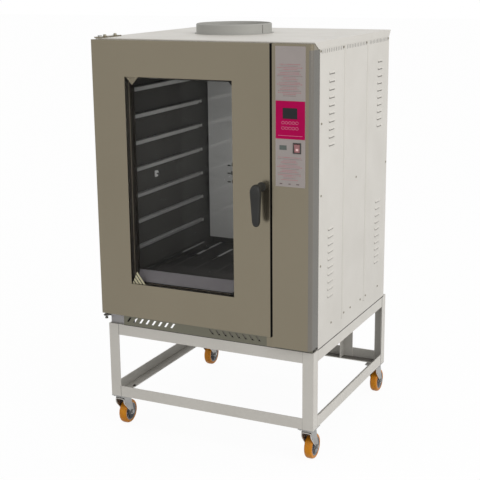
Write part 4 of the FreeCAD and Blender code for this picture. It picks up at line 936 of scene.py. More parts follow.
@dataclass
class WeldBeads:
    """Weld beads along the joints of the stand."""

    pitch: float = 3.2 * MM
    radius: float = 2.2 * MM
    height: float = 0.45
    uneven: Span = (0.85, 1.15)
    seed: int = 7

    def tree(self) -> Repeats:
        """Overlapping drops, each a little different in size."""
        made = Repeats("weld_beads", {"Drop Radius": "Float", "Seed": "Int"})
        inputs = {"Segments": 8, "Rings": 5, "Radius": made.given["Drop Radius"]}
        drop = made.wires.add("GeometryNodeMeshUVSphere", inputs).outputs[0]
        inputs = {"Geometry": drop, "Scale": (1.0, 1.0, self.height)}
        flat = made.wires.add("GeometryNodeTransform", inputs).outputs[0]
        return made.close(flat, made.between(*self.uneven))

    def along(self, name: str, runs: Sequence[tuple[Point, Point, Point]]) -> Object:
        """Beads along straight runs.

        Args:
            name: Name of the piece.
            runs: For each run, its start, its end and the way the beads face.

        Returns:
            The piece.
        """
        points, ways = [], []
        for start, end, way in runs:
            first, last = Vector(start), Vector(end)
            count = max(2, round((last - first).length / self.pitch))
            points += [tuple(first.lerp(last, i / (count - 1))) for i in range(count)]
            ways += [way] * count
        values = {"Drop Radius": self.radius, "Seed": self.seed}
        return self.tree().run(name, points, ways, WHITE_ENAMEL, values)


class CarriedOver:
    """The frame's own nodes that keep showing, each with a full finish."""

    # front_frame gets near black as painted shade: it is seen only through the door gap.
    OTHER = {
        # front_skirt gets the darker taupe as painted shade under the door.
        "front_frame": DEEP_BLACK, "front_skirt": SKIRT_SHADE_TAUPE, "hinge_strap": TAUPE_ENAMEL,
        "indicator_lamp": LAMP_LENS, "tray_rails_left": RAIL_GREY, "tray_rails_right": RAIL_GREY,
        "fan_baffle": BAFFLE_STEEL, "cavity_sill": SILL_STEEL, "temperature_probe": STAINLESS,
        "hinge_bracket": BRACKET_ZINC,
    }

    def dress(self) -> None:
        """Give every node its own finish, or the finish of its material slot."""
        for part in frame["record"]["subparts"]:
            name = part["node"]
            finish = self.OTHER.get(name) or SLOT_FINISH[part["material_slot"]]
            mesh = frame["nodes"][name].data
            mesh.materials.clear()
            mesh.materials.append(finish.material())
            LOG.info("%s dressed in %s", name, finish.name)


@dataclass
class Stand:
    """Welded angle-steel stand."""

    half_width: float = 0.510
    half_depth: float = 0.475
    leg: float = 0.0508
    wall: float = 4 * MM
    rail_levels: tuple[Span, Span] = ((0.161, 0.2118), (0.4652, 0.516))
    seam_width: float = 1.7 * MM
    seam_rise: float = 0.3 * MM
    rear_gap: float = 3.74 * MM
    panel_gap: float = 4.76 * MM
    skirt_gap: float = 2.72 * MM
    panel_y: Span = (-0.427, 0.443)
    skirt_x: Span = (-0.428, 0.505)
    bolt_y: float = -0.345
    bolt_inset: float = 6.5 * MM
    bolt_size: Span = (6 * MM, 6 * MM)
    post_left: float = 0.292
    inner_shade_margin: float = 1 * MM
    inner_shade_thick: float = 0.4 * MM

    def shade_seams(self) -> None:
        """Joint lines between legs and rails and round the top of the stand, painted as shade, and a bolt in
        the lower rail.
        """
        (foot, head), (_, top) = self.rail_levels
        levels = [(low + high) / 2 for low, high in self.rail_levels]
        x, y = self.half_width - self.leg, self.half_depth - self.leg
        size = (self.seam_width, head - foot, self.seam_rise)
        # Painted shade: the lines on the left side are darker than those on the right, which faces the light.
        for name, side, finish in (("left", -1, SEAM_DARK), ("right", 1, SEAM_SOFT)):
            points = [(side * x, face * self.half_depth, z) for z in levels for face in ENDS]
            Strips.row(f"seams_{name}", points, [FRONT, BACK], size, finish, "dark_steel")
        # Painted shade: light lines where the side rails meet the front legs, and a dark line up the full
        # height of each rear leg's front edge.
        for name, end, width, places, long, finish in (
            ("fore", -1, self.seam_width, levels, head - foot, SEAM_SOFT),
            ("aft", 1, self.rear_gap, [(foot + top) / 2], top - foot, SEAM_DEEP),
        ):
            points = [(face * self.half_width, end * y, z) for z in places for face in ENDS]
            size = (long, width, self.seam_rise)
            Strips.row(f"seams_{name}", points, [LEFT, RIGHT], size, finish, "dark_steel")
        # Painted shade: dark lines in the gaps under the side panels and along the top of the skirt.
        points = [(side * self.half_width, sum(self.panel_y) / 2, top) for side in ENDS]
        size = (self.panel_gap, self.panel_y[1] - self.panel_y[0], self.seam_rise)
        Strips.row("panel_seams", points, [LEFT, RIGHT], size, SEAM_DEEP, "dark_steel")
        points = [(sum(self.skirt_x) / 2, -self.half_depth, top + self.seam_width / 2)]
        size = (self.skirt_x[1] - self.skirt_x[0], self.skirt_gap, self.seam_rise)
        Strips.row("skirt_shade_seam", points, [FRONT], size, SEAM_DEEP, "dark_steel")
        points = [(-x - self.bolt_inset, self.bolt_y, foot + self.wall)]
        Fasteners.row("rail_bolt", Head.HEX_BOLT, points, UP, self.bolt_size, SEAM_DEEP, "dark_steel")

    def inner_shade(self) -> None:
        """Painted shade on the faces of legs, rails and post that look inward, darker on the feet of the
        lower rails.
        """
        width, depth = self.half_width - self.wall, self.half_depth - self.wall
        flange = self.leg - self.wall - self.inner_shade_margin
        middle = self.wall + flange / 2
        side, end = self.half_width - middle, self.half_depth - middle
        (low, _), (_, top) = self.rail_levels
        floor, centre = low + self.wall, (low + top) / 2
        levels = (low + middle, top - middle)
        long_x, long_y = 2 * (self.half_width - self.leg), 2 * (self.half_depth - self.leg)
        tall = top - low - 2 * self.wall
        post = self.post_left + self.wall
        for name, points, ways, across, along in (
            ("x_wall", [(0, e * depth, z) for z in levels for e in ENDS], [BACK, FRONT], long_x, flange),
            ("y_wall", [(e * width, 0, z) for z in levels for e in ENDS], [RIGHT, LEFT], flange, long_y),
            ("x_foot", [(0, e * end, floor) for e in ENDS], [UP], long_x, flange),
            ("y_foot", [(e * side, 0, floor) for e in ENDS], [UP], flange, long_y),
            ("leg_x", [(u * side, v * depth, centre) for u, v in CORNERS], [BACK, FRONT], flange, tall),
            ("leg_y", [(u * width, v * end, centre) for v, u in CORNERS], [RIGHT, LEFT], tall, flange),
            ("post_x", [(post + flange / 2, depth - self.wall, centre)], [FRONT], flange, tall),
            ("post_y", [(post, depth - middle, centre)], [RIGHT], tall, flange),
        ):
            # The feet of the lower rails get the dark seam colour as deeper painted shade.
            finish = SEAM_DARK if name == "x_foot" else INNER_SHADE_GREY
            size = (across, along, self.inner_shade_thick)
            Strips.row(f"primer_{name}", points, ways, size, finish, "white_enamel")

    def welds(self) -> None:
        """Weld beads inside, where the rails meet the legs."""
        runs = []
        depth, width = self.half_depth - self.wall, self.half_width - self.wall
        for side in ENDS:
            x = side * (self.half_width - self.leg)
            y = side * (self.half_depth - self.leg)
            for low, high in self.rail_levels:
                low, high = low + self.wall, high - self.wall
                for face in ENDS:
                    runs.append(((x, face * depth, low), (x, face * depth, high), (0, -face, 0)))
                    runs.append(((face * width, y, low), (face * width, y, high), (-face, 0, 0)))
        settle(WeldBeads().along("stand_welds", runs), "oven", "white_enamel")

    def build(self) -> None:
        """Joint lines painted as shade outside, painted shade and weld beads inside."""
        self.shade_seams()
        self.inner_shade()
        self.welds()


@dataclass
class Caster:
    """Swivel caster at one corner, with a smooth tyre and a ribbed hub."""

    corner: str
    side: int
    end: int
    swivel_x: float = 0.474
    swivel_y: float = 0.434
    trail: float = 0.037
    radius: float = 0.057
    half_width: float = 0.018
    tyre_fit: float = 0.05 * MM
    tread_steps: int = 22
    tread_powers: Span = (0.62, 0.7)
    groove: float = 3.6 * MM
    hub_radius: float = 0.042
    boss_radius: float = 0.014
    bore: float = 0.0051
    boss_half: float = 0.0207
    rim_half: float = 0.017
    web_half: float = 0.005
    rib_count: int = 8
    rib_half: float = 1.3 * MM
    plate_under: float = 0.157
    crown_top: float = 0.1506
    crown_drop: float = 7 * MM
    crown_radius: float = 0.029
    fork_half: float = 0.024
    fork_reach: float = 0.031
    rim_radius: float = 2.2 * MM
    cap_radius: float = 0.0205
    cap_height: float = 15 * MM
    bolt_x: float = 0.027
    bolt_y: float = 0.032
    bolt_size: Span = (5 * MM, 4.6 * MM)

    def swivel(self) -> Point:
        """Where the swivel's axis meets the floor."""
        return (self.side * self.swivel_x, self.end * self.swivel_y, 0.0)

    def centre(self) -> Point:
        """Middle of the wheel."""
        x, y, floor = self.swivel()
        return (x, y + self.trail, floor + self.radius)

    def tyre(self) -> BMesh:
        """Crowned tyre with a groove in each side."""
        half, inner, groove = self.half_width, self.hub_radius + self.tyre_fit, self.groove
        flat, round_off = self.tread_powers
        side = [
            (-half + 0.6 * MM, inner), (-half, inner + 0.6 * MM), (-half, inner + 2.2 * MM),
            (-half + 0.5 * MM, inner + 2.7 * MM), (-half + 0.1 * MM, inner + 3.4 * MM),
        ]
        tread = []
        for i in range(self.tread_steps + 1):
            turn = math.pi * (1 - i / self.tread_steps)
            c, s = math.cos(turn), math.sin(turn)
            along = half * math.copysign(abs(c) ** flat, c)
            tread.append((along, inner + groove + (self.radius - inner - groove) * abs(s) ** round_off))
        mirror = [(-a, r) for a, r in reversed(side)]
        return Shaper.lathe(side + tread + mirror, Axis.X, self.centre(), 84)

    def hub(self) -> BMesh:
        """Dished hub with ribs from its boss to its rim."""
        boss, web, rim = self.boss_half, self.web_half, self.rim_half
        neck, edge = self.boss_radius, self.hub_radius
        right = [
            (boss, self.bore), (boss, self.bore + 4 * MM), (boss - 0.6 * MM, neck - 0.6 * MM),
            (boss - 1.4 * MM, neck), (web + 1 * MM, neck + 2.5 * MM), (web, neck + 5 * MM),
            (web, edge - 11 * MM), (web + 1.2 * MM, edge - 9.5 * MM), (rim - 0.8 * MM, edge - 5 * MM),
            (rim, edge - 4 * MM), (rim, edge),
        ]
        left = [(-a, r) for a, r in reversed(right)]
        parts = [Shaper.lathe(right + left, Axis.X, self.centre(), 64)]
        inner, outer = neck - 1 * MM, edge - 6 * MM
        for i in range(self.rib_count):
            turn = Matrix.Rotation(2 * math.pi * i / self.rib_count, 4, "X")
            for way in ENDS:
                near, far = sorted((way * web, way * (rim - 3 * MM)))
                low, high = (near - 0.2 * MM, -self.rib_half, inner), (far, self.rib_half, outer)
                rib = Shaper.block(low, high, 0.7 * MM, 2)
                place = Matrix.Translation(self.centre()) @ turn
                bmesh.ops.transform(rib, matrix=place, verts=list(rib.verts))
                parts.append(rib)
        return Shaper.merged(*parts)

    def crown(self) -> BMesh:
        """Swivel race on top of the fork."""
        top, low, r = self.crown_top, self.crown_top - self.crown_drop, self.crown_radius
        outline = [
            (top, 0.0), (top, r - 2 * MM), (top - 1.5 * MM, r), (top - 2.6 * MM, r),
            (top - 3.4 * MM, r - 1.4 * MM), (top - 4.2 * MM, r), (low + 1 * MM, r),
            (low, r - 1.5 * MM), (low, 0.0),
        ]
        return Shaper.lathe(outline, Axis.Z, self.swivel(), 56)

    def cap(self) -> BMesh:
        """Cap over the kingpin's nut, under the crown."""
        top, r = self.crown_top - self.crown_drop, self.cap_radius
        low = top - self.cap_height
        outline = [(top, 0.0), (top, r), (low + 3 * MM, r), (low + 1 * MM, r - 1 * MM)]
        outline += [(low, r - 3 * MM), (low, 0.0)]
        return Shaper.lathe(outline, Axis.Z, self.swivel(), 40)

    def rim(self) -> BMesh:
        """Rolled edge along the front of the fork, up one arm, over the crown and down the other."""
        x, y, _ = self.swivel()
        side, front = self.fork_half - self.rim_radius, -self.fork_reach
        top, axle = self.crown_top, self.radius
        half = [
            (side, self.trail - 13 * MM, axle + 6 * MM), (side, 8 * MM, axle + 22 * MM),
            (side, -7 * MM, axle + 39 * MM), (side, front + 7 * MM, top - 36 * MM),
            (side, front + 1 * MM, top - 25 * MM), (side, front, top - 14 * MM),
            (side - 1.2 * MM, front, top - 11 * MM), (side - 4.5 * MM, front, top - 8.8 * MM),
            (side - 10 * MM, front, top - 8.2 * MM),
        ]
        path = half + [(-u, v, w) for u, v, w in reversed(half)]
        return Shaper.tube([(x + u, y + v, w) for u, v, w in path], self.rim_radius)

    def build(self) -> None:
        """Fork rim, cap, swivel race, tyre, hub and the bolts of the top plate."""
        corner = self.corner
        fork, wheel = f"caster_{corner}", f"wheel_{corner}"
        # The rolled edge is coloured lighter than the fork: painted highlight.
        fit(f"fork_rim_{corner}", self.rim(), RIM_HIGHLIGHT_ZINC, fork, "zinc_steel")
        # The cap is coloured dark: painted shade under the crown.
        fit(f"kingpin_cap_{corner}", self.cap(), SEAM_DEEP, fork, "dark_steel")
        fit(f"crown_{corner}", self.crown(), ZINC_STEEL, fork, "zinc_steel")
        fit(f"tyre_{corner}", self.tyre(), ORANGE_TYRE, wheel, "orange_tyre", f"caster_tyre_{corner}")
        fit(f"hub_{corner}", self.hub(), CAST_HUB, wheel, "cast_hub", f"caster_hub_{corner}")
        x, y, _ = self.swivel()
        points = [(x + u * self.bolt_x, y + v * self.bolt_y, self.plate_under) for u, v in CORNERS]
        Fasteners.row(f"plate_bolts_{corner}", Head.HEX_BOLT, points, DOWN, self.bolt_size, ZINC_STEEL)


@dataclass
class Cabinet:
    """Side panels, top cover, collar, skirt, column and back, with what fastens them."""

    side: float = 0.510
    screw_size: Span = (5 * MM, 2.4 * MM)
    crease_y: Span = (-0.140, 0.148)
    crease_z: Span = (0.575, 1.784)
    crease_floor: float = 0.507
    crease_size: Span = (5 * MM, 1.6 * MM)
    louvre_y: Span = (-0.289, 0.320)
    louvre_z: tuple[Span, Span] = ((0.700, 1.040), (1.360, 1.700))
    louvre_half: float = 0.036
    louvre_depth: Span = (2.0 * MM, 3.2 * MM)
    pivot: Point = (-0.513, -0.488, 0.5605)
    side_screws: tuple[Span, ...] = (
        (-0.405, 0.882), (-0.405, 1.184), (-0.405, 1.484), (-0.275, 0.595), (-0.118, 0.595), (-0.036, 0.595),
        (0.098, 0.595), (0.170, 0.595), (0.342, 0.595), (0.017, 1.191), (0.430, 1.193),
        (-0.418, 1.777), (-0.157, 1.777), (0.130, 1.777), (0.432, 1.777),
    )
    slot_z: float = 1.775
    slot_groups: Point = (-0.285, 0.004, 0.296)
    slots_in_group: int = 13
    slot_pitch: float = 20 * MM
    slot_size: Point = (3 * MM, 18 * MM, 0.5 * MM)
    hem: tuple[Point, Point] = ((-0.5105, -0.4873, 1.8113), (0.5105, -0.4858, 1.8147))
    cover_top: float = 1.816
    collar_x: float = -0.094
    collar_y: float = 0.026
    collar_radius: float = 0.173
    collar_flange: float = 0.181
    collar_height: float = 0.045
    collar_sheet: float = 1.5 * MM
    collar_bend: float = 6 * MM
    lid_depth: float = 17 * MM
    seam_turn: float = math.radians(-16.5)
    seam_half: float = math.radians(0.5)
    arc_steps: int = 6
    rear_y: float = 0.443
    rear_edge: float = 0.490
    rear_z: Span = (0.600, 1.770)
    rear_rows: int = 6
    rear_between: Point = (-0.245, 0.0, 0.245)
    rear_ends: Span = (0.545, 1.790)
    motor_z: float = 1.110
    motor_half: float = 0.120
    motor_inset: float = 14 * MM
    cover_end: float = 0.558
    strap_bolts: tuple[Point, Point] = ((-0.494, -0.440, 1.821), (-0.498, -0.350, 1.821))
    strap_bolt_size: Span = (7.5 * MM, 8 * MM)
    bend_x: float = 0.492
    bend_y: float = -0.487
    bend_radius: float = 18 * MM
    bend_turn: float = math.radians(80)
    bend_steps: int = 8
    reflection_rear: float = -0.4275
    reflection_z: Span = (0.5335, 1.7855)
    reflection_out: float = 0.4 * MM
    reflection_sunk: float = 0.2 * MM
    backing_y: Span = (-0.4734, -0.4724)
    backing_z: Span = (0.528, 0.5648)
    backing_x: Span = (0.004, 0.300)
    blank_x: Span = (-0.4275, -0.371)
    patch: tuple[Point, Point] = ((0.2925, -0.4757, 0.5185), (0.330, -0.4749, 0.5675))
    dot_first: float = 0.0295
    dot_pitch: float = 32.5 * MM
    dot_count: int = 8
    dot_z: float = 0.5395
    dot_size: Span = (3.2 * MM, 0.5 * MM)

    def collar(self) -> BMesh:
        """Low round collar with a rolled rim, a dished lid and a foot flange."""
        r, h, foot = self.collar_radius, self.collar_height, self.collar_flange
        sheet, bend = self.collar_sheet, self.collar_bend
        outline = [(0.0, 0.0), (0.0, foot - 0.5 * MM), (0.4 * MM, foot), (sheet, foot - 0.2 * MM)]
        outline += [(sheet, r + 2 * MM), (sheet + 0.6 * MM, r + 0.6 * MM), (sheet + 2 * MM, r)]
        for i in range(self.arc_steps + 1):
            turn = math.pi / 2 * i / self.arc_steps
            outline.append((h - bend + bend * math.sin(turn), r - bend + bend * math.cos(turn)))
        inner, lid = r - 8 * MM, h - self.lid_depth
        outline += [(h, r - 7 * MM), (h - 2 * MM, inner), (lid, inner), (lid, 0.0)]
        return Shaper.lathe(outline, Axis.Z, (self.collar_x, self.collar_y, self.cover_top), 128)

    @staticmethod
    def arc(x: float, y: float, inner: float, outer: float, turns: Sequence[float]) -> list[Span]:
        """Outline of a strip bent round an upright axis.

        Args:
            x: Where the axis lies, to the right.
            y: Where the axis lies, to the back.
            inner: Radius of its inner face.
            outer: Radius of its outer face.
            turns: Angles along the strip.

        Returns:
            The outline's points.
        """
        rim = [(outer, t) for t in turns] + [(inner, t) for t in reversed(turns)]
        return [(x + r * math.cos(t), y + r * math.sin(t)) for r, t in rim]

    def seam(self) -> BMesh:
        """Lap seam up the collar's wall."""
        inner, outer = self.collar_radius - 0.4 * MM, self.collar_radius + 0.9 * MM
        low, high = self.cover_top + 2.4 * MM, self.cover_top + self.collar_height - 5 * MM
        steps = self.arc_steps
        turns = [self.seam_turn + self.seam_half * (2 * i / steps - 1) for i in range(steps + 1)]
        return Shaper.prism(self.arc(self.collar_x, self.collar_y, inner, outer, turns), Axis.Z, low, high)

    def build(self) -> None:
        """Collar, screws, vent slots, bolts, hem, pivot, skirt and the painted reflection strips on the
        column.
        """
        fit("collar_turned", self.collar(), COLLAR_GREY, "oven", "white_enamel", "flue_collar")
        fit("collar_seam", self.seam(), SEAM_DARK, "oven", "white_enamel")
        slots = self.slot_tree()
        for name, way in (("left", LEFT), ("right", RIGHT)):
            side = way[0] * self.side
            points = [(side, y, z) for y, z in self.side_screws]
            Fasteners.row(f"side_screws_{name}", Head.PAN_SCREW, points, way, self.screw_size, OLIVE_ZINC)
            self.vent_slots(slots, name, way)
            self.side_lines(name, way)
        self.rear_screws()
        Fasteners.row("strap_bolts", Head.HEX_BOLT, self.strap_bolts, UP, self.strap_bolt_size, OLIVE_ZINC)
        fit("cover_hem", Shaper.block(*self.hem, 0.4 * MM), WHITE_ENAMEL, "oven", "white_enamel")
        fit("pivot_nut", self.pivot_foot(), SEAM_DARK, "oven", "dark_steel")
        self.skirt_backing()
        self.column_side_reflection()

    def pivot_foot(self) -> BMesh:
        """Tab of the lower door pivot with its washer, stem and nut, in steps of drop and radius in mm."""
        x, y, z = self.pivot
        parts = [Shaper.block((x - 8 * MM, y - 9 * MM, z), (x + 24 * MM, y + 16 * MM, z + 4 * MM), 1.2 * MM)]
        washer = (28, ((0, 0), (0, 13), (2, 14), (4, 12.5), (4, 0)))
        stem = (16, ((3, 0), (3, 3), (19, 3), (20, 2), (20, 0)))
        nut = (6, ((11, 0), (11, 7), (12, 8), (18, 8), (18, 0)))
        for sides, steps in (washer, stem, nut):
            outline = [(z - drop * MM, radius * MM) for drop, radius in steps]
            parts.append(Shaper.lathe(outline, Axis.Z, (x, y, 0.0), sides))
        return Shaper.merged(*parts)

    def side_lines(self, name: str, way: Point) -> None:
        """Painted shade lines in the creases and plates painted as shade behind the louvres of one side
        panel.
        """
        points = [(way[0] * self.crease_floor, y, sum(self.crease_z) / 2) for y in self.crease_y]
        size = (self.crease_z[1] - self.crease_z[0], *self.crease_size)
        Strips.row(f"crease_lines_{name}", points, [way], size, CREASE_SHADE, "white_enamel")
        # Painted shade: grey plates seen behind the louvre openings.
        near, far = sorted(way[0] * (self.side - depth) for depth in self.louvre_depth)
        half = self.louvre_half
        plates = [
            Shaper.block((near, y - half, low), (far, y + half, high), 0.3 * MM)
            for y in self.louvre_y
            for low, high in self.louvre_z
        ]
        fit(f"louvre_liners_{name}", Shaper.merged(*plates), LOUVRE_SHADE, "oven", "white_enamel")

    def column_side_reflection(self) -> None:
        """Darker strip on the side of the control column as painted reflection, with a lighter painted
        reflection rolled round its bend.
        """
        x, y, rear = self.bend_x, self.bend_y, self.reflection_rear
        inner, outer = self.bend_radius - self.reflection_sunk, self.bend_radius + self.reflection_out
        turns = [self.bend_turn * (i / self.bend_steps - 1) for i in range(self.bend_steps + 1)]
        flat = [(x + outer, y), (x + outer, rear), (x + inner, rear), (x + inner, y)]
        bend = self.arc(x, y, inner, outer, turns)
        for name, outline, finish in (("column_side_reflection", flat, DARK_GREY_TAUPE), ("column_bend", bend, BEND_REFLECTION_GREY)):
            fit(name, Shaper.prism(outline, Axis.Z, *self.reflection_z), finish, "oven", "taupe_enamel")

    def skirt_plate(self, x: Span) -> BMesh:
        """Plate behind a part of the skirt."""
        (front, back), (low, high) = self.backing_y, self.backing_z
        return Shaper.block((x[0], front, low), (x[1], back, high), 0.3 * MM)

    def skirt_backing(self) -> None:
        """Plates behind the skirt's slots, the right one with a row of dark dots."""
        fit("skirt_backing", self.skirt_plate(self.backing_x), DARK_GREY_TAUPE, "oven", "taupe_enamel")
        fit("skirt_patch", Shaper.block(*self.patch, 0.2 * MM), TAUPE_ENAMEL, "oven", "taupe_enamel")
        front = self.backing_y[0]
        points = [(self.dot_first + i * self.dot_pitch, front, self.dot_z) for i in range(self.dot_count)]
        Fasteners.row("skirt_dots", Head.RIVET, points, FRONT, self.dot_size, DEEP_BLACK, "black_plastic")
        fit("skirt_blank", self.skirt_plate(self.blank_x), DEEP_BLACK, "oven", "black_plastic")

    @staticmethod
    def slot_tree() -> Repeats:
        """Tree of a small upright slot with a rim."""
        made = Repeats("vent_slots", dict.fromkeys(("Slot Width", "Slot Height", "Rim"), "Float"))
        wires, given = made.wires, made.given
        long = wires.math("DIVIDE", given["Slot Height"], given["Slot Width"])
        half = wires.math("MULTIPLY", given["Slot Width"], 0.5)
        shape = made.stepped(16, half, given["Rim"], ((0.7, 0.97), (0.3, 0.86)))
        return made.close(made.stretched(shape, long))

    def vent_slots(self, made: Repeats, name: str, way: Point) -> None:
        """Rows of small upright slots under the cover's flange."""
        points = []
        for middle in self.slot_groups:
            first = middle - self.slot_pitch * (self.slots_in_group - 1) / 2
            spots = [first + i * self.slot_pitch for i in range(self.slots_in_group)]
            points += [(way[0] * self.side, y, self.slot_z) for y in spots]
        values = dict(zip(("Slot Width", "Slot Height", "Rim"), self.slot_size))
        settle(made.run(f"flange_slots_{name}", points, [way], VENT_DARK, values), "oven", "black_plastic")

    def rear_screws(self) -> None:
        """Screws round the back panel and the motor cover."""
        (low, high), last = self.rear_z, self.rear_rows - 1
        levels = [low + (high - low) * i / last for i in range(self.rear_rows)]
        points = [(side * self.rear_edge, self.rear_y, z) for side in ENDS for z in levels]
        points += [(x, self.rear_y, z) for x in self.rear_between for z in self.rear_ends]
        Fasteners.row("rear_screws", Head.PAN_SCREW, points, BACK, self.screw_size, ZINC_STEEL)
        inset = self.motor_half - self.motor_inset
        points = [(self.collar_x + u * inset, self.cover_end, self.motor_z + v * inset) for u, v in CORNERS]
        Fasteners.row("motor_cover_screws", Head.PAN_SCREW, points, BACK, self.screw_size, ZINC_STEEL)


@dataclass
class Door:
    """Glazed door: corner clips, bead, gasket, a black strip painted as shade in the gap beside it, and the
    strip between its panes.
    """

    left: float = -0.361
    right: float = 0.153
    bottom: float = 0.730
    top: float = 1.656
    clip_y: Span = (-0.498, -0.496)
    clip_gap: float = 0.3 * MM
    plate_sunk: float = 0.7 * MM
    rib_thick: float = 0.9 * MM
    rib_shares: tuple[Span, ...] = ((0.06, 0.22), (0.32, 0.48), (0.58, 0.74), (0.84, 1.0))
    gasket_x: Span = (-0.408, 0.220)
    gasket_z: Span = (0.709, 1.713)
    gasket_y: Span = (-0.445, -0.4314)
    gasket_inset: float = 1 * MM
    gasket_round: float = 0.030
    bead_y: float = -0.474
    bead_radius: float = 1.6 * MM
    bead_round: float = 4 * MM
    strip_x: Span = (-0.346, 0.1515)
    strip_foot: Span = (-0.476, 0.7377)
    strip_top: Span = (-0.4535, 0.788)
    strip_thick: float = 0.8 * MM
    strip_sunk: float = 1 * MM
    foot_y: Span = (-0.4765, -0.473)
    foot_low: float = 0.7334
    gap_shade_strip: tuple[Point, Point] = ((0.3233, -0.5054, 0.5715), (0.3265, -0.480, 1.8105))

    def clip(self, corner: tuple[int, int], base: float, apex: Span) -> tuple[BMesh, BMesh]:
        """Three-cornered pressed clip.

        Args:
            corner: Side (-1 left, 1 right) and level (-1 low, 1 high) of the window corner.
            base: Length of the side along the window's edge.
            apex: Where the third corner lies, from the window's corner.

        Returns:
            The plate, and the slanted ribs on its face.
        """
        side, level = corner
        x = self.left if side < 0 else self.right
        z = self.bottom if level < 0 else self.top
        front, back = self.clip_y

        def spot(u: float, v: float) -> Span:
            """Point at distances from the window's corner."""
            return (x - side * (u + self.clip_gap), z - level * (v + self.clip_gap))

        outline = [spot(0, 0), spot(base, 0), spot(*apex)]
        plate = Shaper.prism(outline, Axis.Y, front + self.plate_sunk, back)
        ribs = []
        for near, far in self.rib_shares:
            band = [spot(base * near, 0), spot(base * far, 0)]
            band += [spot(apex[0] * share, apex[1] * share) for share in (far, near)]
            ribs.append(Shaper.prism(band, Axis.Y, front, front + self.rib_thick))
        return plate, Shaper.merged(*ribs)

    @staticmethod
    def ring_tree() -> Repeats:
        """Tree of a round bead swept along a rectangle with rounded corners."""
        names = ("Width", "Height", "Corner Radius", "Bulb Radius")
        made = Repeats("swept_ring", dict.fromkeys(names, "Float"))
        wires, given = made.wires, made.given
        inputs = {0: given["Width"], 1: given["Height"]}
        path = wires.add("GeometryNodeCurvePrimitiveQuadrilateral", inputs, mode="RECTANGLE").outputs[0]
        inputs = {"Curve": path, "Radius": given["Corner Radius"], "Count": 8}
        bent = wires.add("GeometryNodeFilletCurve", inputs, mode="POLY").outputs[0]
        inputs = {"Resolution": 14, "Radius": given["Bulb Radius"]}
        bead = wires.add("GeometryNodeCurvePrimitiveCircle", inputs).outputs[0]
        tube = wires.add("GeometryNodeCurveToMesh", {"Curve": bent, "Profile Curve": bead}).outputs[0]
        inputs = {"Geometry": tube, "Rotation": (math.pi / 2, 0.0, 0.0)}
        return made.close(wires.add("GeometryNodeTransform", inputs).outputs[0])

    def rings(self) -> None:
        """Glazing bead round the window and gasket round the door's back."""
        made = self.ring_tree()
        gasket = sum(self.gasket_y) / 2
        bulb = (self.gasket_y[1] - self.gasket_y[0]) / 2
        for name, x, z, y, inset, corner, radius, finish, slot, stands_for in (
            ("glazing_bead", (self.left, self.right), (self.bottom, self.top), self.bead_y, self.bead_radius,
             self.bead_round, self.bead_radius, BEAD_BRONZE, "dark_steel", ()),
            ("gasket_bulb", self.gasket_x, self.gasket_z, gasket, self.gasket_inset, self.gasket_round, bulb,
             GASKET_RUBBER, "gasket_rubber", ("door_gasket",)),
        ):
            values = {
                "Width": x[1] - x[0] - 2 * inset, "Height": z[1] - z[0] - 2 * inset, "Corner Radius": corner,
                "Bulb Radius": radius,
            }
            ring = made.run(name, [(sum(x) / 2, y, sum(z) / 2)], [UP], finish, values)
            settle(ring, "door", slot, *stands_for)

    def drip_channel(self) -> None:
        """Sloped steel strip between the panes, along the foot of the window, on a dark rubber foot."""
        (front, low), (back, high), thick = self.strip_foot, self.strip_top, self.strip_thick
        sunk = low - self.strip_sunk
        section = [(front, sunk), (back, high), (back + thick, high), (front + thick, sunk)]
        left, right = self.strip_x
        near, far = self.foot_y
        foot = Shaper.block((left, near, self.foot_low), (right, far, low), 0.4 * MM)
        fit("channel_foot", foot, DEEP_BLACK, "door", "gasket_rubber")
        fit("drip_channel", Shaper.prism(section, Axis.X, left, right), CHANNEL_STEEL, "door", "stainless")

    def build(self) -> None:
        """Clips in the four corners of the window, the rings, the strip and the painted shade strip in the
        gap.
        """
        for name, corner, base, apex, finish, rib_finish in (
            ("clip_upper_left", (-1, 1), 0.064, (0.032, 0.035), TAUPE_ENAMEL, TAUPE_ENAMEL),
            ("clip_lower_left", (-1, -1), 0.068, (0.026, 0.056), SEAM_DEEP, CREAM_CLIP),
            ("clip_upper_right", (1, 1), 0.022, (0.004, 0.020), DEEP_BLACK, DEEP_BLACK),
            ("clip_lower_right", (1, -1), 0.030, (0.004, 0.022), DEEP_BLACK, DEEP_BLACK),
        ):
            plate, ribs = self.clip(corner, base, apex)
            fit(name, plate, finish, "door", "zinc_steel", "glass_clips")
            fit(f"{name}_ribs", ribs, rib_finish, "door", "zinc_steel")
        self.rings()
        self.drip_channel()
        # A near-black strip in the gap between door and column: painted shade.
        fit("gap_shade_strip", Shaper.block(*self.gap_shade_strip, 0.6 * MM), DEEP_BLACK, "door", "gasket_rubber")


